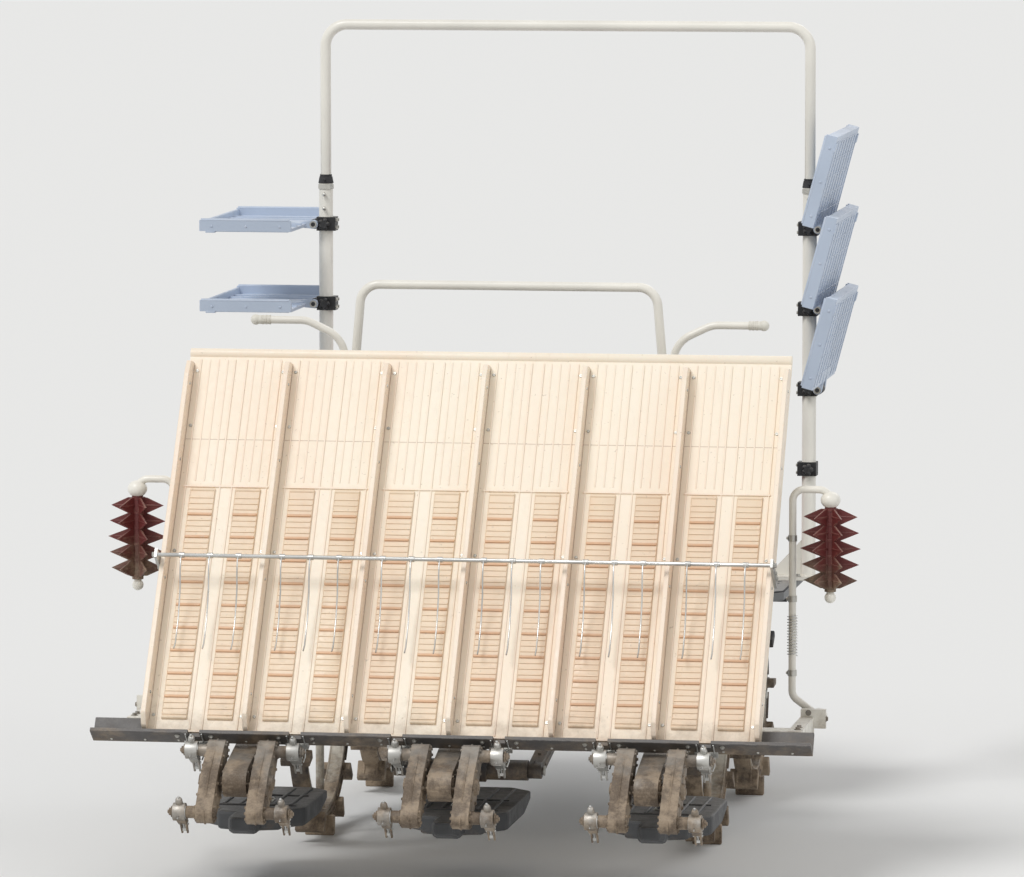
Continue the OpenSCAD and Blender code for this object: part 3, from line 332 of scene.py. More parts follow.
RIM = painted("rim_paint", (0.66, 0.63, 0.55), 0.42, wear=(0.3, 0.2, 0.13), mud_top=0.2, mud_fade=0.5)
FLOAT = painted("float_plastic", (0.055, 0.057, 0.06), 0.55, wear=(0.2, 0.2, 0.2), mud_top=0.12,
                mud_fade=0.22, peel=0.0006)
MARKER_RED = painted("marker_red", (0.14, 0.026, 0.024), 0.5, wear=(0.36, 0.2, 0.15), dust=0.35,
                     mud_top=0.9, mud_fade=0.24)
LAMP_AMBER = painted("warning_light", (0.5, 0.18, 0.03), 0.25, dust=0.2, wear_amount=0.1)
CASE_GREY = bare_metal("case_grey", (0.34, 0.35, 0.36), 0.5, mud_top=0.22, mud_fade=0.35)
ENGINE_GREY = bare_metal("engine_grey", (0.26, 0.265, 0.27), 0.52)
BRIGHT = bare_metal("bright_steel", (0.62, 0.62, 0.6), 0.28, rust=0.3)
ZINC = bare_metal("zinc", (0.55, 0.54, 0.5), 0.36, rust=0.35)
PLANTING = bare_metal("planting_alloy", (0.36, 0.34, 0.31), 0.52, mud_top=0.44, mud_fade=0.3)
ARM = bare_metal("arm_alloy", (0.56, 0.55, 0.52), 0.42, mud_top=0.32, mud_fade=0.34)
TYRE = rubber("tyre_rubber", (0.025, 0.025, 0.027), mud_top=0.3, mud_fade=0.75)
SOFT_BLACK = rubber("soft_black", (0.022, 0.022, 0.024))
BELT = tray_plastic("belt_rubber", (0.84, 0.69, 0.52), (0.78, 0.61, 0.45))
BELT_TOP = tray_plastic("belt_top", (0.86, 0.71, 0.53), (0.8, 0.62, 0.45))
# The belt bars' orange-brown is painted shade, standing in for the shadows between the belt's ridges.
BELT_PAINTED_SHADE = tray_plastic("belt_painted_shade_bar", (0.72, 0.45, 0.27), (0.62, 0.38, 0.23))
CREAM = tray_plastic("tray_cream", (0.92, 0.83, 0.69), (0.9, 0.77, 0.62))
CREAM_RIB = tray_plastic("tray_rib", (0.91, 0.8, 0.66), (0.88, 0.72, 0.58))
TRAY_SEAM = tray_plastic("tray_seam", (0.56, 0.44, 0.34), (0.5, 0.38, 0.29))
SEAT_VINYL = vinyl("seat_vinyl", (0.03, 0.03, 0.034))
LENS = lens("lamp_lens")

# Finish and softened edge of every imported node
FINISHES = (
    (DARK_PAINT, 0.003, "chassis_frame lower_links upper_link hitch"),
    (CASE_GREY, 0.005, "front_axle_case rear_axle_case"),
    (CASE_GREY, 0.008, "gearbox"),
    (CASE_GREY, 0.003, "knuckle_left knuckle_right"),
    (CASE_GREY, 0.002, "lift_ram"),
    (ENGINE_GREY, 0.006, "engine"),
    (RED, 0.004, "bonnet"),
    (LENS, 0.003, "headlamps"),
    (DARK_PLASTIC, 0.008, "dash_console"),
    (DARK_PLASTIC, 0.012, "seat_base"),
    (SEAT_VINYL, 0.0, "seat"),
    (DECK_GREY, 0.006, "deck"),
    (IVORY, 0.0, "rear_rail arch_tube marker_left marker_right"),
    (IVORY, 0.001, "rack_posts"),
    (IVORY_LOW, 0.004, "planting_beam"),
    (BLACK_PLASTIC, 0.003, "rack_brackets"),
    (SHELF_BLUE, 0.0015, " ".join(SHELVES)),
    (SOFT_BLACK, 0.002, "steering_wheel"),
    (ZINC, 0.001, "tie_rod"),
    (BRIGHT, 0.001, "ram_rod press_rod"),
    (RIM, 0.002, "front_rim_left front_rim_right rear_rim_left rear_rim_right"),
    (TYRE, 0.004, "front_tyre_left front_tyre_right rear_tyre_left rear_tyre_right"),
    (PLANTING, 0.006, "planting_cases"),
    (PLANTING, 0.005, "rotor_cases"),
    (ARM, 0.003, "arms_a arms_b"),
    (FLOAT, 0.01, "floats"),
    (RAIL_PAINT, 0.002, "tray_support"),
    (CREAM, 0.002, "tray_panel"),
    (CREAM_RIB, 0.003, "tray_dividers"),
    (BELT, 0.001, "feed_belts"),
    (MARKER_RED, 0.0, "marker_rotor_left marker_rotor_right"),
)

# Materials whose slot in the record has another name
SLOT_OF = {"ivory_low": "ivory_tube", "ivory_worn": "ivory_tube", "tray_seam": "tray_rib",
           "zinc": "bright_steel", "soft_black": "black_plastic", "warning_light": "lamp_lens",
           "belt_top": "belt_rubber", "belt_painted_shade_bar": "belt_rubber"}


def soften(obj, width, segments, angle):
    """Rounds an object's edges that are sharper than an angle in degrees."""
    if width > 0:
        mod = obj.modifiers.new("soft_edges", "BEVEL")
        mod.width = width
        mod.segments = segments
        mod.limit_method = "ANGLE"
        mod.angle_limit = math.radians(angle)
        mod.use_clamp_overlap = True


for finish, bevel, names in FINISHES:
    for node in map(nodes.get, names.split()):
        node.data.materials.clear()
        node.data.materials.append(finish)
        node.modifiers.new("weld", "WELD").merge_threshold = 0.00002
        soften(node, bevel, 2, 32)


# Mesh tools


def shift(x=0.0, y=0.0, z=0.0):
    return Matrix.Translation((x, y, z))


def tilt(angle, axis="X"):
    return Matrix.Rotation(angle, 4, axis)


def about(middle, reach):
    """The two ends of a stretch that reaches equally far from its middle."""
    return middle - reach, middle + reach


def grid(*places):
    """Points with every mix of the x, y and z places, where a number stands for a single place."""
    return product(*[p if isinstance(p, (tuple, list)) else (p,) for p in places])


class Shape:
    """Collects solids in one mesh and makes it a piece of the scene.

    Every point goes through the matrix `place`, so a part is drawn where it is simplest.
    """

    def __init__(self, home=Matrix()):
        self.bm = bmesh.new()
        self.home = home
        self.place = home

    def box(self, low, high):
        low, high = Vector(low), Vector(high)
        spread = Matrix.Diagonal((*(high - low), 1))
        bmesh.ops.create_cube(self.bm, size=1, matrix=self.place @ shift(*(low + high) / 2) @ spread)

    def strip(self, x, half, y, z):
        """A box as wide as twice half about x, with its ends along y and z as pairs."""
        self.box(*zip(about(x, half), y, z))

    def rod(self, a, b, radius, end_radius=None, segments=16):
        a, b = self.place @ Vector(a), self.place @ Vector(b)
        turn = (b - a).to_track_quat("Z", "Y").to_matrix().to_4x4()
        top = radius if end_radius is None else end_radius
        bmesh.ops.create_cone(self.bm, cap_ends=True, segments=segments, radius1=radius, radius2=top,
                              depth=(b - a).length, matrix=shift(*(a + b) / 2) @ turn)

    def stub(self, a, along, radius, end_radius=None, segments=16):
        """A rod from a point, with its length as a vector."""
        self.rod(a, Vector(a) + along, radius, end_radius, segments)

    def stubs(self, points, *size, **more):
        for point in points:
            self.stub(point, *size, **more)

    def ball(self, centre, radius, flat=1.0, segments=16):
        matrix = shift(*self.place @ Vector(centre)) @ Matrix.Diagonal((1, 1, flat, 1))
        bmesh.ops.create_uvsphere(self.bm, u_segments=segments, v_segments=segments // 2, radius=radius,
                                  matrix=matrix)

    def bolts(self, points, axis, size=0.012, head=0.007):
        """Hexagon heads on washers at points of a face, standing out along the axis."""
        for point in map(Vector, points):
            self.stub(point, axis * 0.0016, size * 0.78, segments=20)
            self.stub(point + axis * 0.0014, axis * (head - 0.0014), size * 0.56, size * 0.53, 6)

    def skin(self, rings, round_again=False):
        """Quads between rings of vertices, with ends unless the last ring joins the first."""
        pairs = list(zip(rings, rings[1:]))
        if round_again:
            pairs.append((rings[-1], rings[0]))
        else:
            self.bm.faces.new(rings[0][::-1])
            self.bm.faces.new(rings[-1])
        for one, other in pairs:
            for k in range(len(one)):
                n = (k + 1) % len(one)
                self.bm.faces.new((one[k], one[n], other[n], other[k]))

    def tube(self, points, radius, segments=12, closed=False):
        """A round tube along points, with parallel transported rings."""
        points = [self.place @ Vector(p) for p in points]
        count = len(points)
        rings = []
        normal = None
        for i, point in enumerate(points):
            if closed:
                tangent = (points[(i + 1) % count] - points[i - 1]).normalized()
            else:
                tangent = (points[min(i + 1, count - 1)] - points[max(i - 1, 0)]).normalized()
            if normal is None:
                normal = tangent.orthogonal().normalized()
            else:
                normal = (normal - tangent * normal.dot(tangent)).normalized()
            side = tangent.cross(normal)
            ring = circle(segments, radius)
            rings.append([self.bm.verts.new(point + c * normal + s * side) for c, s in ring])
        self.skin(rings, closed)

    def loft(self, rings):
        """A solid through rings that have the same number of points."""
        self.skin([[self.bm.verts.new(self.place @ Vector(p)) for p in ring] for ring in rings])

    def prism(self, outline, low, high, axis="x"):
        """Extrudes a closed outline of 2D points along one axis between two values."""
        at = "xyz".index(axis)
        self.loft([[(*p[:at], value, *p[at:]) for p in outline] for value in (low, high)])

    def make(self, name, material, body="chassis", bevel=0.0, smooth=35, segments=None):
        """Makes the piece, shaded smooth below an angle in degrees. Fine bevels have one segment."""
        bmesh.ops.recalc_face_normals(self.bm, faces=self.bm.faces)
        mesh = bpy.data.meshes.new(name)
        self.bm.to_mesh(mesh)
        self.bm.free()
        mesh.materials.append(material)
        mesh.shade_smooth()
        mesh.set_sharp_from_angle(angle=math.radians(smooth))
        obj = bpy.data.objects.new(name, mesh)
        bpy.context.scene.collection.objects.link(obj)
        soften(obj, bevel, segments or (2 if bevel > 0.001 else 1), 30)
        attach(obj, body)
        plain = material.name.split(".")[0]
        SLOT_OF.get(plain, plain)
        return obj


def both(*shapes, at=Matrix()):
    """Runs a loop's body for the left and the right side, with the shapes mirrored on the left."""
    for side in SIDES:
        for shape in shapes:
            shape.place = shape.home @ at @ Matrix.Diagonal((side, 1, 1, 1))
        yield side
    for shape in shapes:
        shape.place = shape.home


def circle(count, radius=1.0):
    turns = [2 * math.pi * i / count for i in range(count)]
    return [(radius * math.cos(a), radius * math.sin(a)) for a in turns]


def on_circle(centre, radius, count, flat=False):
    """Points round a circle that faces along x, or along z when it lies flat."""
    offsets = [(c, s, 0) if flat else (0, c, s) for c, s in circle(count, radius)]
    return [Vector(centre) + Vector(offset) for offset in offsets]


def rounded(corners, radius, steps=5):
    """A closed 2D outline with its corners rounded."""
    points = []
    count = len(corners)
    for i in range(count):
        before, here, after = (Vector(corners[(i + k) % count]) for k in (-1, 0, 1))
        back, ahead = before - here, after - here
        reach = min(radius, back.length * 0.45, ahead.length * 0.45)
        start, end = here + back.normalized() * reach, here + ahead.normalized() * reach
        for t in [k / steps for k in range(steps + 1)]:
            points.append((1 - t) ** 2 * start + 2 * t * (1 - t) * here + t * t * end)
    return [(p.x, p.y) for p in points]


def panel(half, low, high, radius=0.02):
    """A rounded rectangle that reaches half to both sides."""
    return rounded([(-half, low), (half, low), (half, high), (-half, high)], radius)


# Added pieces: seat

SEAT_OUTLINE = rounded([(-0.1, 0.964), (0.235, 0.964), (0.262, 0.995), (0.246, 1.032), (0.07, 1.022),
                        (-0.1, 1.032)], 0.03)
BACK_OUTLINE = rounded([(-0.163, 1.03), (-0.118, 1.03), (-0.1, 1.075), (-0.151, 1.385), (-0.19, 1.403),
                        (-0.214, 1.375)], 0.03)
SEAT_HALF, BACK_HALF = 0.216, 0.228
SEAT_LINES = [-0.125, 0.125]
SEAT_CROSS_Y, BACK_CROSS_Z = 0.2, 1.31
CLOTH_FRAMES = 20
VOXEL = 0.0075


def lean(y, z):
    """The y of a line that leans back with the backrest and passes y at its foot."""
    return y - (z - 1.07) * 0.16


def outline_loft(outline, half, levels=20, power=3.2):
    """Rings of an outline across x that shrink towards both ends, for a crowned closed form."""
    cy = sum(p[0] for p in outline) / len(outline)
    cz = sum(p[1] for p in outline) / len(outline)
    rings = []
    for i in range(levels + 1):
        place = math.sin(math.pi * (i / levels - 0.5)) * 0.995
        size = 0.72 + 0.28 * (1 - abs(place) ** power) ** (1 / power)
        rings.append([(place * half, cy + (y - cy) * size, cz + (z - cz) * size) for y, z in outline])
    return rings


def seam_weight(co, across):
    """How firmly the cushion's seam lines are held: two along it, and one across it between them."""
    near = min(abs(co.x - x) for x in SEAT_LINES)
    near = min(near, abs(across) if abs(co.x) < 0.2 else 1.0)
    return 0.97 if near < 0.006 else 0.0


def seat_held(co):
    return 1.0 if co.z < 0.985 else seam_weight(co, co.y - SEAT_CROSS_Y)


def back_held(co):
    return 1.0 if co.y < lean(-0.152, co.z) else seam_weight(co, co.z - BACK_CROSS_Z)


def inflate(obj, held, cap):
    """Lets cloth with inner air pressure round a closed form. Held points stay, and travel is capped."""
    mesh = obj.data
    group = obj.vertex_groups.new(name="held")
    for v in mesh.vertices:
        weight = held(v.co)
        if weight > 0:
            group.add([v.index], weight, "REPLACE")
    mod = obj.modifiers.new("cloth", "CLOTH")
    cloth = mod.settings
    cloth.quality = 5
    cloth.mass = 0.3
    cloth.tension_stiffness = 12
    cloth.compression_stiffness = 6
    cloth.shear_stiffness = 6
    cloth.bending_stiffness = 1.5
    cloth.air_damping = 3
    cloth.use_pressure = True
    cloth.uniform_pressure_force = 4.0
    cloth.effector_weights.gravity = 0
    cloth.vertex_group_mass = "held"
    mod.point_cache.frame_start = 1
    mod.point_cache.frame_end = CLOTH_FRAMES
    scene = bpy.context.scene
    for f in range(1, CLOTH_FRAMES + 1):
        scene.frame_set(f)
    shaped = obj.evaluated_get(bpy.context.evaluated_depsgraph_get()).data
    moved = []
    for before, after in zip(mesh.vertices, shaped.vertices):
        step = after.co - before.co
        if step.length > cap:
            step = step * (cap / step.length)
        moved.append(before.co + step)
    obj.modifiers.remove(mod)
    for v, co in zip(mesh.vertices, moved):
        v.co = co
    scene.frame_set(1)


def cushion(name, outline, half, held, cap):
    """A cushion that is swollen by a cloth simulation."""
    shape = Shape()
    shape.loft(outline_loft(outline, half))
    obj = shape.make(name, SEAT_VINYL, smooth=180)
    mod = obj.modifiers.new("remesh", "REMESH")
    mod.mode = "VOXEL"
    mod.voxel_size = VOXEL
    mesh = bpy.data.meshes.new_from_object(obj.evaluated_get(bpy.context.evaluated_depsgraph_get()))
    obj.modifiers.clear()
    old = obj.data
    obj.data = mesh
    bpy.data.meshes.remove(old)
    obj.data.name = name
    inflate(obj, held, cap)
    if not obj.data.materials:
        obj.data.materials.append(SEAT_VINYL)
    obj.data.shade_smooth()
    mod = obj.modifiers.new("smooth", "SUBSURF")
    mod.levels = 1
    mod.render_levels = 1
    return obj


def snap_path(obj, points, lift=0.0):
    """Moves path points to the nearest place on an object's surface."""
    solid = obj.evaluated_get(bpy.context.evaluated_depsgraph_get())
    out = []
    for p in map(Vector, points):
        hit, place, normal, _ = solid.closest_point_on_mesh(p)
        out.append(place + normal * lift if hit else p)
    return out


def squarish(a):
    """Turns a circle's coordinate into that of a rounded square."""
    return math.copysign(abs(a) ** 0.35, a)


def seat_seams(seat, back):
    """Stitched lines along both cushions and piping round them."""
    piping = Shape()
    for x in SEAT_LINES:
        line = [(x, y / 100, 1.06) for y in range(-9, 26)]
        piping.tube(snap_path(seat, line, -0.0005), 0.0019, 8)
        line = [(x, lean(-0.06, 1.05 + i * 0.01), 1.05 + i * 0.01) for i in range(35)]
        piping.tube(snap_path(back, line, -0.0005), 0.0019, 8)
    turns = [(squarish(c), squarish(s)) for c, s in circle(120)]
    line = [(0.2 * c, 0.078 + 0.176 * s, 1.045) for c, s in turns]
    piping.tube(snap_path(seat, line, 0.0006), 0.0034, 8, closed=True)
    line = [(0.212 * c, lean(-0.05, 1.215 + 0.165 * s), 1.215 + 0.165 * s) for c, s in turns]
    piping.tube(snap_path(back, line, 0.0006), 0.0034, 8, closed=True)
    piping.make("seat_piping", SOFT_BLACK, smooth=180)


seat_cushion = cushion("seat_cushion", SEAT_OUTLINE, SEAT_HALF, seat_held, 0.022)
seat_back = cushion("seat_back", BACK_OUTLINE, BACK_HALF, back_held, 0.02)
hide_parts("seat")
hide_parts("seat")
seat_seams(seat_cushion, seat_back)


# Added pieces: tray


def tray_point(x, u, v):
    """A place on the tray: x across, u up the slope from the lower edge, v off the face."""
    return Vector((x, REAR_AXLE.y - 1.18 + u * math.cos(TRAY_ANGLE) - v * math.sin(TRAY_ANGLE),
                   TRAY_FOOT_Z + u * math.sin(TRAY_ANGLE) + v * math.cos(TRAY_ANGLE)))


TRAY_TURN = shift(*tray_point(0, 0, 0)) @ tilt(TRAY_ANGLE)
TRAY_UP = TRAY_TURN.to_3x3() @ Y
TRAY_OUT = TRAY_TURN.to_3x3() @ Z
DIVIDERS = [(i - 3) * ROW_PITCH for i in range(7)]
PRESS_U, PRESS_V = 0.42 * TRAY_L, 0.092
CLEAT_PITCH = 0.019
BELT_HALF = 0.036


def tray_ribs():
    """Moulded ribs of the lanes, their lips and the dark seams along the dividers."""
    ribs = Shape(TRAY_TURN)
    top = TRAY_L - 0.03
    for lane in ROWS:
        for _ in both(ribs, at=shift(lane)):
            for x in (0.018, 0.122):
                ribs.strip(x, 0.002, (0.012, top), (-0.001, 0.003))
            for x in (0.041, 0.068, 0.095):
                ribs.strip(x, 0.002, (BELT_END + 0.03, top), (-0.001, 0.0016))
        # Raised lip between the belts and the upper sheet, and the lip at the foot
        ribs.strip(lane, 0.128, (BELT_END + 0.008, BELT_END + 0.014), (-0.001, 0.0042))
        ribs.strip(lane, 0.138, (0.002, 0.008), (-0.001, 0.009))
    ribs.make("tray_ribs", CREAM_RIB, "tray", 0.0006)
    seams = Shape(TRAY_TURN)
    for x in [x + s * 0.0088 for x in DIVIDERS for s in SIDES]:
        if abs(x) < 0.905:
            seams.strip(x, 0.0007, (0.045, 1.24), (-0.0006, 0.0007))
    for lane in ROWS:
        seams.strip(lane, 0.14, (0.985, 0.9864), (-0.0006, 0.0005))
    seams.make("tray_seams", TRAY_SEAM, "tray")


def tray_screws():
    """Slotted screws in the lanes and plain ones in the dividers."""
    screws = Shape()
    slot = Vector((0.0032, 0.0006, 0.0006))
    for lane in ROWS:
        for u in (0.06, 0.47 * TRAY_L, 0.8 * TRAY_L, 1.22):
            for s in SIDES:
                p = tray_point(lane + s * 0.131, u, 0.0)
                screws.stub(p - TRAY_OUT * 0.001, TRAY_OUT * 0.0036, 0.0058, 0.0046, 12)
                screws.box(p - slot + TRAY_OUT * 0.0022, p + slot + TRAY_OUT * 0.0032)
    for x in DIVIDERS:
        for u in (0.12, 0.5, 0.9, 1.16):
            for s in SIDES:
                screws.stub(tray_point(x + s * 0.0072, u, 0.03), X * s * 0.0026, 0.0052, 0.004, 12)
    screws.make("tray_screws", ZINC, "tray")


def tray_belts():
    """Cleats and end rollers of the feed belts. Every fourth cleat is a taller drive bar, coloured
    orange-brown as painted shade for the shadows between the belt's ridges.
    """
    cleats, bars, rollers = Shape(TRAY_TURN), Shape(TRAY_TURN), Shape(TRAY_TURN)
    for x in BELTS:
        for k in range(int((BELT_END - 0.07) / CLEAT_PITCH)):
            u = 0.06 + k * CLEAT_PITCH
            if k % 4 == 3:
                bars.strip(x, BELT_HALF, (u - 0.0012, u + 0.006), (0.0045, 0.0098))
            else:
                cleats.strip(x, BELT_HALF, (u, u + 0.0042), (0.0045, 0.0078))
        for s in SIDES:
            cleats.strip(x + s * 0.03635, 0.00085, (0.056, BELT_END - 0.004), (0.0045, 0.0062))
        rollers.stubs(grid(x - 0.037, (0.052, BELT_END - 0.002), 0.003), X * 0.074, 0.0058, segments=14)
    cleats.make("belt_cleats", BELT_TOP, "tray", 0.0007)
    # The taller bars carry the painted shade colour.
    bars.make("belt_painted_shade_bars", BELT_PAINTED_SHADE, "tray", 0.0007)
    rollers.make("belt_rollers", BELT_TOP, "tray")


def tray_back():
    """Stiffening ribs on the tray's back."""
    back = Shape(TRAY_TURN)
    for u in (0.2, 0.45, 0.7, 0.95, 1.2):
        back.strip(0, 0.89, about(u, 0.008), (-TRAY_T - 0.0085, -TRAY_T + 0.001))
    for i in range(-6, 7):
        for ends in ((0.12, 0.94), (1.06, 1.26)):
            back.strip(i * 0.148, 0.004, ends, (-TRAY_T - 0.0075, -TRAY_T + 0.001))
    back.make("tray_back_ribs", CREAM_RIB, "tray", 0.001)


def press_rod_details():
    """Fingers that hang from the press rod over the lanes, and the rod's nuts."""
    u, v = PRESS_U, PRESS_V
    fingers, nuts = Shape(TRAY_TURN), Shape(TRAY_TURN)
    for x in [lane + 0.085 * i for lane in ROWS for i in (-1, 0, 1)]:
        fingers.tube([(x, u, v + 0.004), (x, u - 0.02, v + 0.012), (x, u - 0.05, v), (x, u - 0.1, 0.06),
                      (x, u - 0.18, 0.038), (x, u - 0.26, 0.034), (x, u - 0.285, 0.045)], 0.0023, 8)
        fingers.stub((x - 0.008, u, v), X * 0.016, 0.0086, segments=14)
    fingers.make("press_fingers", BRIGHT, "tray", smooth=60)
    for _ in both(nuts):
        nuts.bolts([(0.9155, u, v)], X, 0.014, 0.009)
        nuts.bolts(grid(0.9157, u, (0.012, 0.045)), X, 0.01, 0.006)
    nuts.make("press_nuts", ZINC, "tray")


def support_details():
    """Seedling guides, bolts and slide shoes on the tray's support."""
    guides, bolts, shoes = Shape(), Shape(), Shape(TRAY_TURN)
    for x in ROWS:
        for _ in both(guides, bolts, at=shift(x)):
            bend = tray_point(0.024, -0.016, -0.03)
            tip = bend + Vector((0, -0.004, -0.032))
            guides.tube([tray_point(0.024, -0.0128, 0.026), bend, tip, tip + Vector((-0.006, 0, -0.016))],
                        0.0024, 8)
            bolts.bolts([tray_point(0.05, -0.0123, 0.012)], -TRAY_UP, 0.009, 0.0055)
        _, y, z = tray_point(x, -0.0123, -0.028)
        guides.strip(x, 0.034, (y - 0.006, y + 0.001), (z - 0.012, z + 0.008))
    for x in [i * 0.1 for i in range(-10, 11)]:
        if min(abs(x - row) for row in ROWS) > 0.03:
            bolts.rod(tray_point(x, -0.0124, -0.018), tray_point(x, -0.0145, -0.018), 0.0042, 0.003, 10)
    for _ in both(bolts, shoes):
        bolts.bolts([tray_point(0.4572, u, -0.075) - Z * 0.03 for u in (0.18, 0.26)], X, 0.011, 0.007)
        for x in (0.3, 0.47):
            shoes.strip(x, 0.022, (0.78 * TRAY_L - 0.004, 0.78 * TRAY_L + 0.038),
                        (-TRAY_T - 0.0127, -TRAY_T - 0.0121))
    guides.make("seedling_guides", BRIGHT, "planting_frame")
    bolts.make("support_bolts", ZINC, "planting_frame")
    shoes.make("slide_shoes", BLACK_PLASTIC, "planting_frame")


tray_ribs()
tray_screws()
tray_belts()
tray_back()
press_rod_details()
support_details()


# Added pieces: planting unit

CASE_HALF = 0.035
ARM_ROOTS = {"a": pivot("arms_a_pin"), "b": pivot("arms_b_pin")}
ARM_SIDES = list(zip(ROWS, SIDES * 3))
FLOAT_TOP = 0.2405
FLOAT_Y = -1.01


def beam_details():
    """U-bolts that clamp each case to the beam, the harness along it, and its bolts."""
    home = shift(0, BEAM_BACK, BEAM_Z)
    straps, harness, bolts = Shape(home), Shape(home), Shape()
    for x in CASES:
        for _ in both(straps, at=shift(x)):
            straps.tube([(0.046, -0.006, -0.041), (0.046, BEAM_DEPTH + 0.0035, -0.041),
                         (0.046, BEAM_DEPTH + 0.0035, 0.0385), (0.046, -0.006, 0.0385)], 0.0042, 8)
        straps.strip(x, 0.058, (-0.008, -0.001), (0.03, 0.0345))
    straps.make("beam_straps", ZINC, "planting_frame", smooth=50)
    harness.tube([(i / 40, BEAM_DEPTH + 0.008 + 0.0025 * math.sin(i * 0.9), 0.02 + 0.003 * math.sin(i * 1.7))
                  for i in range(-36, 37)], 0.0055, 10)
    for _ in both(harness):
        for x in (0.2, 0.45, 0.75):
            harness.strip(x, 0.005, (BEAM_DEPTH - 0.001, BEAM_DEPTH + 0.0155), (0.008, 0.031))
    harness.make("beam_harness", SOFT_BLACK, "planting_frame", smooth=60)
    for _ in both(bolts):
        bolts.bolts(grid(0.985, (-1.005, -0.965), BEAM_Z + 0.035), Z, 0.013, 0.0075)
        bolts.bolts([(1.036, -0.725, MARKER.z)], X, 0.012, 0.006)
        bolts.bolts(grid(0.985, -0.7348, about(MARKER.z, 0.018)), -Y, 0.011, 0.0065)
    for x in CASES:
        for _ in both(bolts, at=shift(x)):
            edge = ((-1.1, BEAM_Z + 0.022), (-1.2, 0.425), (-1.3, 0.4), (-1.08, BEAM_Z - 0.02),
                    (-1.19, 0.355), (-1.3, 0.33))
            bolts.bolts([(CASE_HALF - 0.0005, *p) for p in edge], X, 0.011, 0.0062)
    bolts.make("case_bolts", PLANTING, "planting_frame")


def case_details():
    """Cast ribs, seam flanges, bearing covers and drive seals of the planting cases."""
    ribs, seals = Shape(), Shape()
    flange = [(-1.36, 0.3961), (-1.2, 0.4465), (-1.108, 0.4747), (-1.05, 0.4745)]
    for x in CASES:
        for _ in both(ribs, at=shift(x)):
            spine = ((-1.06, BEAM_Z - 0.004), (-1.2, 0.392), (-1.34, 0.366))
            ribs.tube([(CASE_HALF, *p) for p in spine], 0.0045, 8)
            ribs.stubs(on_circle((CASE_HALF, *ROTOR.yz), 0.036, 6), X * 0.0042, 0.0042, 0.0034, 10)
            ribs.stub((CASE_HALF - 0.001, *ROTOR.yz), X * 0.0055, 0.027, 0.0245, 32)
        for a, b in zip(flange, flange[1:]):
            ribs.rod((x, *a), (x, *b), 0.0055, segments=8)
        ribs.stub((x, -1.16, 0.462), Z * 0.014, 0.012, 0.01, 8)
        ribs.stub((x, -1.16, 0.474), Z * 0.007, 0.0065, 0.0055, 6)
    ribs.make("case_ribs", PLANTING, "planting_frame")
    for a, b in zip(CASES, CASES[1:]):
        for x, s in ((a + 0.036, 1), (b - 0.036, -1)):
            p = Vector((x, -1.0792, BEAM_Z - 0.004))
            seals.stub(p, X * s * 0.016, 0.0245, 0.0225, 24)
            seals.stub(p + X * s * 0.018, X * s * 0.012, 0.0215, segments=24)
    seals.make("drive_seals", SOFT_BLACK, "planting_frame")


def split_line(count=64):
    """The seam round a rotor case, which is waisted between its round ends."""
    points = []
    for c, s in circle(count):
        spread = min(1, abs(c) * 1.45)
        y = 0.12 * math.copysign(1, c) * spread + 0.0325 * c
        points.append((0.074, y, s * (0.0465 - 0.0145 * spread)))
    return points


def rotor_details():
    """Covers, bolts and caps that turn with the rotors."""
    covers, bolts = Shape(), Shape()
    hub = shift(*ROTOR)
    for case in CASES:
        for _ in both(covers, bolts, at=shift(case) @ hub @ tilt(ROTOR_ANGLE)):
            for x, out in ((0.099, X), (0.049, -X)):
                ends = [(x, end * 0.12 + 0.0235 * math.cos(a), 0.0235 * math.sin(a)) for end in SIDES
                        for a in [math.radians(90 - end * 90 + 45 * k) for k in range(-2, 3)]]
                waist = [(x, end * y, edge * (0.034 - y * 0.1)) for end in SIDES for y in (0.035, 0.075)
                         for edge in SIDES]
                bolts.bolts(ends + waist, out, 0.0075, 0.0052)
            covers.stub((0.0982, 0, 0), X * 0.01, 0.026, 0.022, 28)
            covers.stub((0.1072, 0, 0), X * 0.004, 0.012, 0.01, 20)
            covers.tube(split_line(), 0.003, 6, closed=True)
    for x, s in ARM_SIDES:
        for root in ARM_ROOTS.values():
            p = root + X * (x + s * 0.0222)
            bolts.stub(p - X * s * 0.002, X * s * 0.0035, 0.0165, segments=24)
            bolts.stub(p, X * s * 0.0085, 0.0115, 0.011, 6)
            bolts.stub(p, X * s * 0.0125, 0.0055, segments=14)
    covers.make("rotor_covers", PLANTING, "rotors")
    bolts.make("rotor_bolts", PLANTING, "rotors")


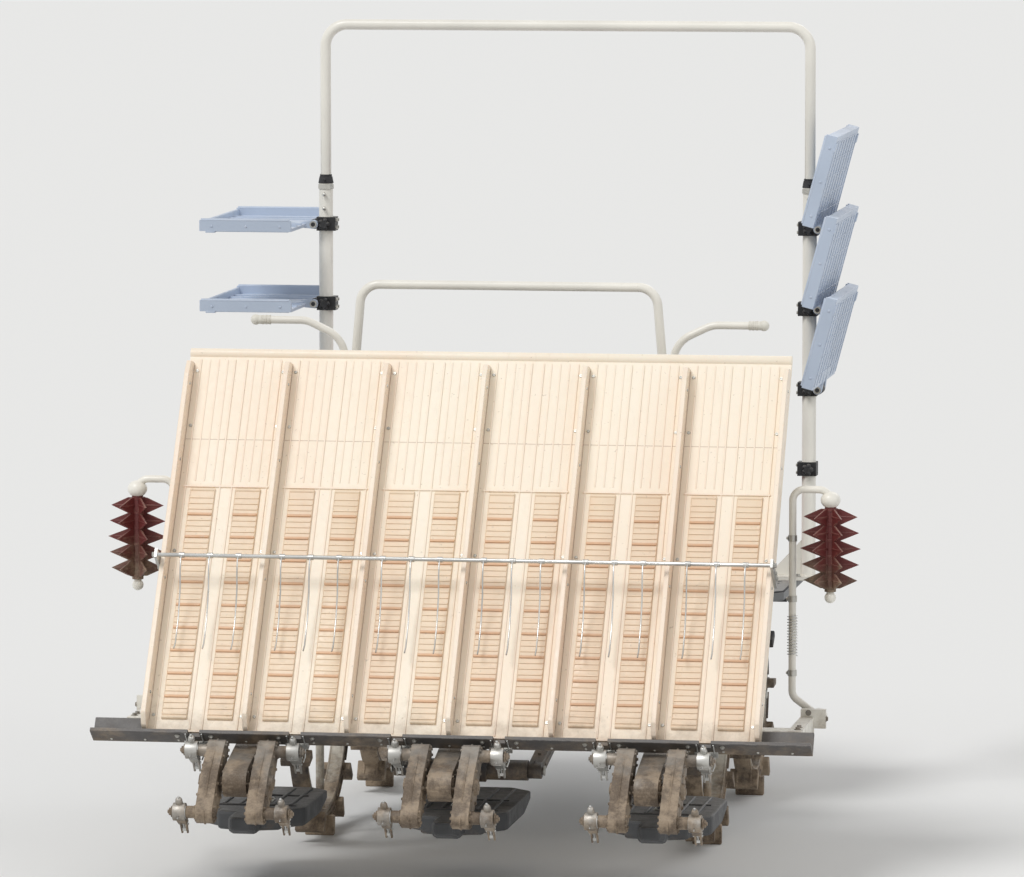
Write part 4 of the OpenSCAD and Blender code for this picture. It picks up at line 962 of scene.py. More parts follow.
def arm_details(end):
    """Pusher rods, covers, caps and nipples of the planting arms at one end of the rotors."""
    metal, cast = Shape(), Shape()
    cap = Vector((0, 0.006, 0.012))
    slant = Vector((0, -0.62, 0.78)).normalized()
    cover = rounded([(-0.008, -0.016), (0.004, 0.015), (0.03, 0.006), (0.052, -0.024), (0.04, -0.032),
                     (0.008, -0.019)], 0.007, 3)
    for row, s in ARM_SIDES:
        for _ in both(metal, cast, at=shift(row) @ shift(*ARM_ROOTS[end])):
            # Side cover with three screws
            cast.prism(cover, 0.0128, 0.0154)
            screws = ((0.037, -0.005), (0.046, -0.022), (0.028, -0.0195))
            metal.stubs([(0.015, *p) for p in screws], X * 0.0028, 0.0034, 0.0028, 6)
        for shape in (metal, cast):
            shape.place = shift(row) @ shift(*ARM_ROOTS[end])
        # Pusher rod and its fork between the prongs
        metal.rod((0, 0.038, -0.022), (0, 0.071, -0.061), 0.0034, segments=10)
        metal.box((-0.0052, 0.066, -0.066), (0.0052, 0.0745, -0.0575))
        # Spring cap over the body
        cast.stub(cap, slant * 0.03, 0.0118, 0.0105, 18)
        cast.ball(cap + slant * 0.03, 0.0102, segments=14)
        metal.stub(cap + slant * 0.036, slant * 0.0085, 0.0042, 0.0036, 6)
        # Clamp bolts of the claw, boss and nipple
        metal.stubs([(-0.0145, 0.052, -0.034), (-0.0145, 0.06, -0.044)], X * 0.029, 0.0036, segments=6)
        metal.stub(X * s * -0.017, X * s * -0.0026, 0.021, 0.0195, 24)
        metal.stub((0, -0.024, -0.012), Vector((0, -0.009, -0.004)), 0.0028, 0.002, 8)
    cast.make(f"arms_{end}_covers", ARM, f"arms_{end}", 0.0006)
    metal.make(f"arms_{end}_fittings", BRIGHT, f"arms_{end}")


def float_details():
    """Moulded ridges in the floats' tops, with the plates and bolts of their posts."""
    ridges, plates = Shape(), Shape()
    for x, front in zip(CASES, (-0.76, -0.68, -0.76)):
        for dx in (-0.1, -0.05, 0.05, 0.1):
            ends = ((-1.1, FLOAT_TOP), (-1.0, FLOAT_TOP + 0.0007), (front, FLOAT_TOP))
            ridges.tube([(x + dx, *p) for p in ends], 0.0055, 8)
        for y in about(FLOAT_Y, 0.1):
            ends = ((-0.12, FLOAT_TOP), (0, FLOAT_TOP + 0.0007), (0.12, FLOAT_TOP))
            ridges.tube([(x + dx, y, z) for dx, z in ends], 0.005, 8)
        plates.strip(x, 0.034, about(FLOAT_Y, 0.024), (0.2402, 0.2442))
        plates.bolts(grid(about(x, 0.027), about(FLOAT_Y, 0.018), 0.244), Z, 0.009, 0.005)
        for s in SIDES:
            plates.bolts(grid(x, FLOAT_Y + s * 0.0182, (0.3, 0.37)), Y * s, 0.012, 0.007)
    ridges.make("float_ridges", FLOAT, "planting_frame", smooth=60)
    plates.make("float_plates", ZINC, "planting_frame", 0.0008)


beam_details()
case_details()
rotor_details()
for arm_end in ARM_ROOTS:
    arm_details(arm_end)
float_details()


# Added pieces: tractor

DECK_BACK, DECK_FRONT = -0.257, 1.287
DECK_NARROW, DECK_WIDE = 0.497, 0.742
PEDAL_Y = 0.582
BONNET_TOP = DECK_TOP + 0.46
BONNET_BACK = 0.86
GRILLE_Y = 1.4445
LAMP_X, LAMP_Z = 0.15, 0.947
LAMP_DEPTH = (1.424, 1.4475)
AIR_CLEANER = Vector((0.1, 1.13, 0.878))
SILENCER_Z = 0.66
# The console's top runs down to the rear from (0.738, 1.174) to (0.658, 1.132)
DASH_TURN = shift(0, 0.7, 1.154) @ tilt(math.atan2(0.042, 0.08))
ARM_Z = 1.594
HINGE_X = pivot("shelf_right_1_fold").x


def tread_bar(shape, x, y, z, odd, half, width, height):
    """A slanting bar of a tread plate."""
    shape.place = shift(x, y, z) @ tilt(math.radians(45 if odd else -45), "Z")
    shape.box((-half, -width, -0.0004), (half, width, height))


def deck_is_free(x, y):
    """Whether a tread bar fits beside the seat base, console, bonnet and tube feet."""
    blocked = ((0, 0.275, -0.245, 0.265), (0, 0.2, 0.64, 0.81), (0, 0.26, 0.785, 2),
               (0.43, 1, -0.21, -0.12), (0.63, 1, 0.95, 1.08))
    inside = any(x0 <= x < x1 and y0 < y < y1 for x0, x1, y0, y1 in blocked)
    return x < (0.478 if y < 0.585 else 0.715) and not inside


def deck_details():
    """Tread bars, bolts and edging of the deck."""
    tread, bolts, lip = Shape(), Shape(), Shape(shift(z=DECK_TOP + 0.001))
    y, row = -0.235, 0
    while y < 1.27:
        x = -0.72 + (0.03 if row % 2 else 0.0)
        while x <= 0.72:
            if deck_is_free(abs(x), y):
                tread_bar(tread, x, y, DECK_TOP, (row + round(x / 0.06)) % 2, 0.0155, 0.0034, 0.0021)
            x += 0.06
        y += 0.03
        row += 1
    tread.make("deck_tread", DECK_GREY)
    for _ in both(bolts, lip):
        rim = ((0.462, -0.225), (0.462, 0.2), (0.462, 0.55), (0.7, 0.69), (0.7, 1.24), (0.31, 1.25),
               (0.36, 0.69))
        bolts.bolts([(*p, DECK_TOP - 0.0002) for p in rim], Z, 0.012, 0.005)
        bolts.bolts(grid((0.465, 0.494), about(HOOP_Y, 0.024), DECK_TOP + 0.0078), Z, 0.01, 0.006)
        bolts.bolts(grid((0.675, 0.75), about(POST_Y, 0.03), DECK_TOP + 0.0118), Z, 0.013, 0.008)
        lip.tube([(DECK_NARROW, -0.25, 0), (DECK_NARROW, 0.56, 0), (0.703, 0.62, 0), (DECK_WIDE, 0.662, 0),
                  (DECK_WIDE, 1.25, 0), (0.703, DECK_FRONT, 0), (0.262, DECK_FRONT, 0)], 0.0032, 8)
    lip.tube([(-0.49, DECK_BACK, 0), (0.49, DECK_BACK, 0)], 0.0032, 8)
    bolts.make("deck_bolts", ZINC)
    lip.make("deck_edging", SOFT_BLACK, smooth=60)


def bonnet_lines():
    """Lid lines, ridge, creases and louvre hoods of the bonnet."""
    seams, trim = Shape(), Shape()
    shell = nodes["bonnet"]
    side = [(0.26, 0.815 + 0.0265 * k, 1.0 - 0.002 * k) for k in range(22)]
    front = [(-0.26 + 0.013 * k, 1.46, 0.955) for k in range(1, 40)]
    seams.tube(snap_path(shell, [(-x, y, z) for x, y, z in side] + front + side[::-1]), 0.002, 6)
    # Raised centre ridge of the lid
    ridge = [(-0.075, 0.0), (-0.062, 0.007), (0.062, 0.007), (0.075, 0.0)]
    trim.loft([[(x, y, BONNET_TOP + z + drop) for x, z in ridge]
               for y, drop in ((BONNET_BACK, -0.0015), (1.1, -0.0087), (1.32, -0.0284))])
    for s in SIDES:
        seams.tube([(s * BONNET_HALF, BONNET_BACK, z) for z in (0.712, 0.99)], 0.0016, 6)
        seams.tube(snap_path(shell, [(s * 0.26, 1.335, z / 100) for z in range(66, 96, 3)]), 0.0018, 6)
        crease = [(s * 0.152, BONNET_BACK + 0.025 * k, 1.2) for k in range(19)]
        trim.tube(snap_path(shell, crease, 0.0006), 0.0048, 10)
    hood = [(-0.002, -0.004), (0.0062, 0.001), (0.0055, 0.006), (-0.002, 0.007)]
    for _ in both(trim):
        for y in [0.993 + i * 0.042 for i in range(6)]:
            trim.prism([(BONNET_HALF + dx, y + dy) for dx, dy in hood], 0.782, 0.936, "z")
    seams.make("bonnet_seams", SOFT_BLACK)
    trim.make("bonnet_trim", RED, bevel=0.0015)


def bonnet_fittings():
    """Lamp bezels and bowls, latches, hinge bolts and grille mesh of the bonnet."""
    black, bright = Shape(), Shape()
    for _ in both(black, bright):
        for x in about(LAMP_X, 0.057):
            black.strip(x, 0.003, LAMP_DEPTH, (0.911, 0.984))
        for z in (0.911, 0.978):
            black.strip(LAMP_X, 0.06, LAMP_DEPTH, (z, z + 0.006))
        black.strip(BONNET_HALF, 0.004, (1.2, 1.222), (0.958, 1.006))
        black.stub((BONNET_HALF, 1.211, 0.966), X * 0.008, 0.008, 0.006)
        bright.stub((LAMP_X, 1.4085, LAMP_Z), Y * 0.0315, 0.012, 0.026, 24)
        bright.ball((LAMP_X, 1.4265, LAMP_Z), 0.009)
        bright.bolts(grid(BONNET_HALF, (0.83, 0.9), 0.72), X, 0.01, 0.005)
    for i in range(20):
        black.strip(-0.1425 + i * 0.015, 0.0012, (GRILLE_Y - 0.002, GRILLE_Y + 0.001), (0.652, 0.838))
    for i in range(10):
        black.strip(0, 0.149, (GRILLE_Y, GRILLE_Y + 0.002), about(0.655 + i * 0.02, 0.0012))
    black.make("bonnet_fittings", BLACK_PLASTIC, bevel=0.0008)
    bright.make("lamp_bowls", BRIGHT)


def engine_details():
    """Cooling fins, covers, air cleaner and silencer of the engine."""
    fins, dark = Shape(), Shape()
    for _ in both(fins):
        for z in [0.735 + i * 0.012 for i in range(9)]:
            fins.box((0.184, 0.99, z), (0.1905, 1.24, z + 0.004))
    fins.box((-0.12, 1.0, 0.879), (0.06, 1.22, 0.905))
    fins.box((-0.105, 1.02, 0.904), (0.045, 1.2, 0.918))
    fins.stub(AIR_CLEANER, Z * 0.062, 0.06, 0.056, 32)
    fins.stub((-0.12, 1.262, 0.72), Y * 0.016, 0.055, 0.052, 32)
    fins.make("engine_fins", ENGINE_GREY, bevel=0.002)
    dark.stub((-0.16, 1.3, SILENCER_Z), X * 0.28, 0.045, segments=28)
    dark.stub((0.12, 1.3, SILENCER_Z), X * 0.03, 0.018, segments=18)
    dark.stub(AIR_CLEANER + Z * 0.062, Z * 0.022, 0.048, 0.04, 28)
    dark.tube([(-0.04, 1.265, SILENCER_Z), (-0.04, 1.29, SILENCER_Z)], 0.02, 14)
    dark.make("engine_parts", BLACK_PLASTIC, bevel=0.003)


def dash_dial(dial, x, r):
    """A dial's rim, nine marks and needle at x on the panel."""
    def at(share, degrees, z):
        a = math.radians(degrees)
        return x + share * r * math.cos(a), 0.002 + share * r * math.sin(a), z

    dial.tube([(x + c, 0.002 + s, 0.0065) for c, s in circle(36, r)], 0.0022, 8, closed=True)
    for k in range(9):
        dial.rod(at(0.78, 30 * k - 30, 0.0063), at(0.94, 30 * k - 30, 0.0063), 0.0007, segments=6)
    dial.rod((x, 0.002, 0.0065), at(0.7, 60, 0.0068), 0.0011, 0.0005, 6)
    dial.stub((x, 0.002, 0.0055), Z * 0.003, 0.003, 0.0025, 12)


def dash_panel():
    """Panel with its dials and warning lights."""
    plate, dial, lights = Shape(DASH_TURN), Shape(DASH_TURN), Shape(DASH_TURN)
    face = [(-0.115, -0.032), (0.115, -0.032), (0.125, 0.034), (-0.125, 0.034)]
    plate.prism(rounded(face, 0.015), -0.001, 0.006, "z")
    for _ in both(plate):
        plate.box((0.128, -0.03, -0.001), (0.158, 0.03, 0.004))
    for x, r in ((0.0, 0.026), (-0.068, 0.017), (0.068, 0.017)):
        dash_dial(dial, x, r)
    row = [-0.048 + k * 0.024 for k in range(5)]
    lights.stubs(grid(row, -0.0255, 0.0055), Z * 0.0025, 0.0042, 0.0034, 14)
    plate.make("dash_panel", BLACK_PLASTIC, bevel=0.0015)
    dial.make("dash_dials", IVORY, smooth=60)
    lights.make("dash_lights", LAMP_AMBER)


def dash_controls():
    """Switches, key and lever gates of the console."""
    bits, gates = Shape(), Shape()
    toggle = Z * 0.009 + DASH_TURN.to_3x3().inverted() @ (Y * 0.003)
    for _ in both(bits, at=DASH_TURN):
        bits.stubs(grid(0.143, (-0.018, 0.0, 0.018), 0.0035), Z * 0.0045, 0.006, 0.0055, 14)
        bits.stubs(grid(0.143, (-0.018, 0.0, 0.018), 0.0075), toggle, 0.0024, 0.003, 8)
    for _ in both(bits, gates):
        bits.stubs(grid(0.1725, (0.706, 0.754), (1.003, 1.067)), X * 0.0027, 0.0034, 0.0028, 8)
        gates.box((0.1698, 0.7, 0.995), (0.1732, 0.76, 1.075))
    # Key in its lock on the right of the console
    bits.stub((CONSOLE_HALF, 0.71, 1.06), X * 0.006, 0.013, 0.011, 20)
    bits.box((0.175, 0.7085, 1.044), (0.192, 0.7115, 1.076))
    gates.make("lever_gates", BLACK_PLASTIC, bevel=0.0006)
    bits.make("dash_switches", ZINC, bevel=0.0004)


def dash_covers():
    """Boot of the steering column, ribs of the pedal's pad, and covers of the console."""
    rubbers, covers = Shape(), Shape()
    for k in range(7):
        top = COLUMN - COLUMN_AXIS * (0.078 + k * 0.009)
        rubbers.stub(top, COLUMN_AXIS * -0.006, 0.0325 + 0.0012 * k, 0.0335 + 0.0012 * k, 28)
    for y in [PEDAL_Y + k * 0.0055 for k in range(5)]:
        rubbers.strip(-0.12, 0.035, (y, y + 0.003), (0.7815, 0.7845))
    for _ in both(covers):
        for z in (0.76, 0.84, 0.92):
            covers.box((CONSOLE_HALF, 0.7, z), (0.1728, 0.785, z + 0.012))
    covers.prism(panel(0.1, 0.86, 0.98), 0.668, 0.6835, "y")
    rubbers.make("dash_rubbers", SOFT_BLACK)
    covers.make("dash_covers", DARK_PLASTIC, bevel=0.002)


def steering_details():
    """Hub cap, spokes and grip ribs of the steering wheel."""
    turn = shift(*COLUMN) @ tilt(math.radians(30))
    hub, grips = Shape(turn), Shape(turn)
    hub.stub((0, 0, -0.001), Z * 0.007, 0.035, 0.031, 32)
    hub.stub((0, 0, 0.005), Z * 0.0035, 0.022, 0.019, 28)
    for a in [math.radians(90 + 120 * k) for k in range(3)]:
        c, s = math.cos(a), math.sin(a)
        hub.rod((0.032 * c, 0.032 * s, -0.016), (0.12 * c, 0.12 * s, -0.005), 0.0125, 0.0098, 14)
    for c, s in circle(60):
        grips.rod((0.177 * c, 0.177 * s, -0.0105), (0.1665 * c, 0.1665 * s, -0.0075), 0.0035, segments=8)
    hub.make("steering_hub", BLACK_PLASTIC, "steering_wheel", 0.001, segments=2)
    grips.make("steering_grips", SOFT_BLACK, "steering_wheel")


def seat_base_details():
    """Access covers, vents and bolts of the seat base."""
    parts, bits = Shape(), Shape()
    for _ in both(parts, bits):
        cover = [(-0.14, 0.745), (0.14, 0.745), (0.16, 0.88), (-0.16, 0.88)]
        parts.prism(rounded(cover, 0.02), 0.2592, 0.2635)
        for z in (0.79, 0.81, 0.83):
            parts.box((0.263, -0.1, z), (0.266, 0.1, z + 0.007))
        corners = ((-0.13, 0.756), (0.13, 0.756), (0.145, 0.868), (-0.145, 0.868))
        bits.bolts([(0.2632, *p) for p in corners], X, 0.009, 0.005)
        bits.bolts([(0.2722, *p) for p in ((-0.105, 0.93), (-0.108, 0.96), (-0.15, 1.15))], X)
    parts.prism(panel(0.15, 0.74, 0.88), 0.2012, 0.2035, "y")
    parts.make("seat_base_panels", DARK_PLASTIC, bevel=0.0015)
    bits.make("seat_bolts", ZINC)


def rail_details():
    """Worn ends, clips, sleeve tops, pins and weld beads of the tube frames."""
    ends, clips, collars, beads = Shape(), Shape(), Shape(), Shape()
    for s in both(ends, clips):
        ends.stub((0.735, HOOP_Y, ARM_Z), X * 0.042, 0.0136, segments=24)
        ends.stubs(grid((0.734, 0.745, 0.756), HOOP_Y, ARM_Z), X * 0.004, 0.0145, segments=24)
        ends.ball((0.78, HOOP_Y, ARM_Z), 0.0162)
        for z in (0.72, 1.2, 1.38):
            x = HOOP_X - 0.008 * (z - 0.69) / 0.756
            clips.stub((x, HOOP_Y, z), Z * 0.022, 0.0166, segments=24)
            clips.bolts([(x, -0.181, z + 0.011)], -Y, 0.009, 0.0055)
        clips.stub((POST_X, POST_Y, 1.922), Z * 0.014, 0.0252, 0.0246, 28)
        for z in (1.905, 1.86):
            clips.stub((POST_X, POST_Y - 0.03, z), Y * 0.06, 0.0042, segments=12)
            clips.ball((POST_X, POST_Y - 0.031, z), 0.0065)
        clips.bolts([(POST_X, 1.0395, 1.89)], Y, 0.011, 0.008)
        foot = on_circle((s * POST_X, POST_Y, DECK_TOP + 0.0125), 0.0236, 28, flat=True)
        beads.tube([p + Z * 0.0008 * math.sin(i * 2.4) for i, p in enumerate(foot)], 0.0034, 8, closed=True)
        beads.tube(on_circle((s * HOOP_X, HOOP_Y, DECK_TOP + 0.0088), 0.0152, 24, flat=True), 0.0028, 8,
                   closed=True)
    for _ in both(collars):
        collars.stub((POST_X, POST_Y, 1.9395), Z * 0.0225, 0.0248, 0.0205, 28)
        collars.stub((POST_X, POST_Y, 1.962), Z * 0.006, 0.0192, segments=28)
        collars.stub((POST_X, POST_Y - 0.04, 1.952), Y * 0.08, 0.004, segments=10)
    ends.make("rail_caps", IVORY_WORN, smooth=50)
    clips.make("frame_clips", ZINC, smooth=40)
    collars.make("sleeve_collars", SOFT_BLACK, bevel=0.0012)
    beads.make("frame_welds", IVORY, smooth=70)


def bracket_details():
    """Clamp bolts, hand knobs and hinge washers of the shelf brackets."""
    bits, knobs = Shape(), Shape()
    for s in both(bits):
        for z in BRACKETS_Z:
            bits.bolts(grid(0.7465, (POST_Y - 0.013, POST_Y + 0.015), about(z, 0.012)), -X, 0.0095, 0.006)
            knobs.place = shift(s * POST_X, POST_Y, z)
            knobs.rod((0, -0.0255, 0), (0, -0.036, 0), 0.0075)
            knobs.rod((0, -0.035, 0), (0, -0.048, 0), 0.0125, 0.011, 20)
            for x, z in circle(5, 0.0115):
                knobs.ball((x, -0.041, z), 0.0082, segments=10)
        for end in SIDES:
            washers = grid(HINGE_X, POST_Y + end * 0.059, BRACKETS_Z[1:])
            bits.stubs(washers, Y * end * -0.0025, 0.0115, segments=20)
    bits.make("bracket_bolts", ZINC)
    knobs.make("bracket_knobs", BLACK_PLASTIC, smooth=50)


def shelf_details(shelf):
    """Edge beads, rivets, folded hooks and stiffening grid of a shelf, in the place where it rests."""
    fold = joints[f"{shelf}_fold"]
    turn = Matrix.Diagonal((-1, 1, 1, 1))
    if "right" in shelf:
        turn = tilt(math.radians(-fold["range_deg"][1]), "Y")
    shape = Shape()
    for end in SIDES:
        shape.tube(grid((0.03, 0.315), end * 0.3052, 0.0275), 0.0058, 8)
        shape.stubs(grid((0.06, 0.17, 0.28), end * 0.3095, 0.008), Y * end * 0.0027, 0.0046, 0.0036, 10)
        shape.stubs(grid((0.04, 0.056), end * 0.045, 0.001), Z * 0.0036, 0.0046, 0.0036, 10)
        shape.strip(0.285, 0.015, about(end * 0.3, 0.012), (-0.0125, -0.0075))
    shape.tube(grid(0.3152, (-0.302, 0.302), 0.0195), 0.0055, 8)
    for i in range(-3, 4):
        start, half, top = (0.05, 0.012, 0.003) if i % 2 else (0.045, 0.018, 0.0034)
        shape.box((start, i * 0.08 - half, 0.0012), (0.3, i * 0.08 + half, top))
    for y in [i * 0.074 for i in range(-4, 5)]:
        shape.box((0.034 if abs(y) > 0.08 else 0.066, y - 0.0014, -0.0102), (0.302, y + 0.0014, -0.0076))
    for x in (0.07, 0.128, 0.186, 0.244, 0.3):
        shape.strip(x, 0.0014, (-0.296, 0.296), (-0.0099, -0.0076))
    shape.bm.transform(shift(*fold["pos_m"]) @ turn)
    shape.make(f"{shelf}_trim", SHELF_BLUE, shelf, 0.0007)


def frame_bolts():
    """Bolt heads on the rails, the cases, the axle beam and the steps' hangers."""
    bolts = Shape()
    rail = (-0.37, -0.31, 0.2, 0.32, 0.5, 0.65, 1.3, 1.42)
    rear_case = ((-0.155, 0.4), (-0.12, 0.365), (-0.02, 0.362), (0.025, 0.4), (0.025, 0.49), (-0.14, 0.5),
                 (-0.07, 0.506))
    gearbox = ((0.4, 0.4), (0.44, 0.35), (0.55, 0.337), (0.63, 0.345), (0.685, 0.395), (0.69, 0.47))
    for _ in both(bolts):
        bolts.bolts(grid(0.22, rail, (0.572, 0.538)), X, 0.014, 0.008)
        bolts.bolts(grid(0.22, (0.9, 1.1), 0.572), X, 0.014, 0.008)
        bolts.bolts(grid(0.1718, (-0.355, -0.32), 0.497), -X)
        bolts.bolts(on_circle((0.5202, *REAR_AXLE.yz), 0.055, 8), X, 0.012, 0.0065)
        bolts.bolts(on_circle((0.4958, *REAR_AXLE.yz), 0.056, 8), -X, 0.012, 0.0065)
        bolts.bolts([(0.1148, *p) for p in rear_case], X, 0.013, 0.0075)
        bolts.bolts([(0.1596, *p) for p in gearbox], X, 0.013, 0.0075)
        bolts.bolts(grid(0.3, (0.942, 0.988), 0.52), Z, 0.013, 0.0075)
        bolts.bolts(grid(0.4702, (0.445, 0.54), (0.63, 0.44)), X)
    bolts.make("frame_bolts", ZINC)


def step_tread():
    """Slanting bars on the treads of the side steps."""
    steps = Shape()
    for i, j, s in product(range(7), range(6), SIDES):
        x, y = s * (0.485 + j * 0.019), 0.434 + i * 0.0185
        tread_bar(steps, x, y, 0.408, (i + j) % 2, 0.008, 0.0022, 0.002)
    steps.make("step_tread", DARK_PAINT)


def case_castings():
    """Ribs, flanges and plugs of the gearbox and axle cases, seal rings and caps of the front kingpins."""
    cast = Shape()
    kingpin = Vector((KINGPIN_X, FRONT_AXLE.y, 0))
    for _ in both(cast):
        cast.stub((0.1588, 0.41, 0.36), Z * 0.14, 0.0065, segments=10)
        cast.stubs(grid(0.1588, (0.5, 0.6), 0.335), Z * 0.175, 0.0065, segments=10)
        cast.stubs(grid(0.114, (-0.13, -0.04, 0.01), 0.375), Z * 0.13, 0.006, segments=10)
        cast.stubs(grid((0.2, 0.32, 0.44), *REAR_AXLE.yz), X * 0.018, 0.0535, segments=32)
        cast.stub((0.47, REAR_AXLE.y, 0.49), Z * 0.018, 0.01, 0.008, 12)
        cast.stub(kingpin + Z * 0.455, Z * 0.008, 0.0455, segments=32)
        cast.stub(kingpin + Z * 0.531, Z * 0.007, 0.034, 0.03, 28)
        cast.stub(kingpin + Z * 0.537, Z * 0.008, 0.008, 0.007, 6)
    cast.stub((0, 0.385, 0.45), Y * 0.018, 0.052, segments=32)
    cast.stub((0, 0.06, 0.45), Y * 0.015, 0.05, segments=32)
    cast.make("case_castings", CASE_GREY, bevel=0.0015)


def frame_hoses():
    """Harness along both rails, and oil hoses from the ram to the gearbox with their unions."""
    hoses, ends = Shape(), Shape()
    for _ in both(hoses, ends):
        hoses.tube([(0.1535, y / 20, 0.575 + 0.003 * math.sin(y)) for y in range(-4, 17)], 0.005, 8)
        ends.rod((0.0765, 0.436, 0.575), (0.0765, 0.455, 0.562), 0.0115, segments=6)
        for y in (0.0, 0.35, 0.7):
            ends.strip(0.1535, 0.007, (y, y + 0.012), (0.566, 0.5845))
    hoses.tube([(0.028, -0.0335, 0.642), (0.05, 0.0, 0.66), (0.06, 0.06, 0.655), (0.06, 0.16, 0.625),
                (0.07, 0.28, 0.6), (0.075, 0.4, 0.585), (0.075, 0.45, 0.565)], 0.0085)
    hoses.tube([(-0.028, -0.1, 0.642), (-0.05, -0.06, 0.66), (-0.062, 0.04, 0.655), (-0.062, 0.16, 0.625),
                (-0.072, 0.28, 0.6), (-0.078, 0.4, 0.585), (-0.078, 0.45, 0.565)], 0.0085)
    for x, y in ((0.028, -0.034), (-0.028, -0.1)):
        ends.rod((x * 0.6, y - 0.002, 0.636), (x * 1.05, y, 0.6445), 0.0115, 0.0105, 6)
    ends.stub((0, -0.1875, 0.6239), Y * 0.004, 0.0315, segments=6)
    hoses.make("frame_hoses", SOFT_BLACK, smooth=70)
    ends.make("hose_ends", ZINC)


def knuckle_details(side, s):
    """Ribs, bolts, bearing cover and steering nut of a front knuckle."""
    shape = Shape(shift(s * KINGPIN_X, FRONT_AXLE.y))
    shape.stubs(grid(0, 0, (0.36, 0.39, 0.42)), Z * 0.008, 0.0432, segments=32)
    shape.bolts(on_circle((0, 0, 0.27), 0.026, 5, flat=True), -Z, 0.01, 0.0055)
    shape.bolts(on_circle((s * 0.038, 0, FRONT_AXLE.z), 0.0395, 6), X * s, 0.0085, 0.005)
    shape.stub((s * 0.03, 0, FRONT_AXLE.z), X * s * 0.0085, 0.0475, segments=36)
    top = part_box("tie_rod")[1].z
    shape.stub((0, -0.13, top + 0.0003), Z * 0.0015, 0.0125, segments=20)
    shape.stub((0, -0.13, top + 0.0016), Z * 0.002, 0.0105, segments=6)
    shape.make(f"knuckle_{side}_fittings", CASE_GREY, f"knuckle_{side}")


def wheel_details(place, axle, spokes, lugs, band, side, s):
    """Hub nut, rim trim and tread ribs of a wheel with its band's radius."""
    body = f"wheel_{place}_{side}"
    hub, rim, tread = (Shape(shift(s * axle.x, *axle.yz)) for _ in range(3))
    hub.stub((s * 0.039, 0, 0), X * s * 0.007, 0.026, 0.024, 32)
    hub.stub((s * 0.045, 0, 0), X * s * 0.0095, 0.016, 0.015, 6)
    rim.tube(on_circle((s * 0.0392, 0, 0), 0.0515, 48), 0.0022, 6, closed=True)
    for k in range(spokes):
        a = math.radians(90 + 360 * k / spokes)
        out = Vector((0, math.cos(a), math.sin(a)))
        rim.stub(out * (band - 0.046), out * 0.033, 0.0135, 0.019)
        rim.stub(out * 0.05, out * 0.034, 0.019, 0.0135)
    r = band + 0.024
    for k in range(lugs):
        a = 2 * math.pi * k / lugs - math.pi / 2
        out, ahead = Vector((0, math.cos(a), math.sin(a))), Vector((0, -math.sin(a), math.cos(a)))
        for end in SIDES:
            # Bead beside the band between two lugs, and ribs on both faces of a lug
            gap = [a + math.pi / lugs * (1 + j / 5) for j in range(-3, 4)]
            bead = [(end * 0.0235, (r - 0.006) * math.cos(b), (r - 0.006) * math.sin(b)) for b in gap]
            tread.tube(bead, 0.0042, 6)
            for x in (-0.022, 0.022):
                root = X * x + out * (r - 0.002) + ahead * end * 0.0125
                tread.stub(root, out * 0.032 - ahead * end * 0.0023, 0.005, 0.0042, 8)
    for end in SIDES:
        rim.tube(on_circle((end * 0.0195, 0, 0), band - 0.0125, 72), 0.0036, 6, closed=True)
    hub.make(f"{place}_hub_{side}", ZINC, body)
    rim.make(f"{place}_rim_trim_{side}", RIM, body, smooth=60)
    tread.make(f"{place}_tread_{side}", TYRE, body, smooth=50)


def link_details():
    """Lugs, ribs and pins of the lift's links and the hitch. Each link's -Y runs along it to the rear."""
    slope = tilt(math.radians(10))
    low, high = Shape(shift(*LIFT) @ slope), Shape(shift(*UPPER_LINK) @ slope)
    hitch = Shape(shift(*HITCH))
    for _ in both(low, high, hitch):
        low.stubs(grid(0.2, (-0.09, -0.3, -0.51), 0.019), Z * 0.0075, 0.006, 0.0045, 6)
        low.stubs(grid(0.2, (0, -0.6), 0.0225), Z * 0.009, 0.0045, 0.003, 8)
        low.stubs(grid(about(0.2, 0.021), -0.06, 0), Y * -0.48, 0.0032, segments=8)
        low.stub((0.174, -0.252, 0), X * 0.006, 0.0225, 0.0245, 24)
        high.stub((0.0182, -0.07, 0), Y * -0.46, 0.0032, segments=8)
        for x, z in ((0.2262, 0), (0.0372, UPPER_LINK.z - LIFT.z)):
            hitch.stub((x - 0.0005, 0, z), X * 0.0035, 0.0148, segments=20)
            pin = Vector((x + 0.001, -0.014115, z - 0.002))
            hitch.stub(pin, Y * 0.029 + Z * 0.006, 0.0016, segments=6)
        hitch.bolts(grid(0.047, -0.028615, [z - HITCH.z for z in (0.36, 0.42, 0.52, 0.6)]), Y)
    high.stubs(grid(0, (-0.07, -0.3, -0.53), 0.0195), Z * 0.0075, 0.006, 0.0045, 6)
    high.stub((0, -0.26, 0), Y * -0.08, 0.0215, segments=8)
    low.make("lower_link_fittings", DARK_PAINT, "lower_links", smooth=50)
    high.make("upper_link_fittings", DARK_PAINT, "upper_link", smooth=50)
    hitch.make("hitch_fittings", ZINC, "hitch")


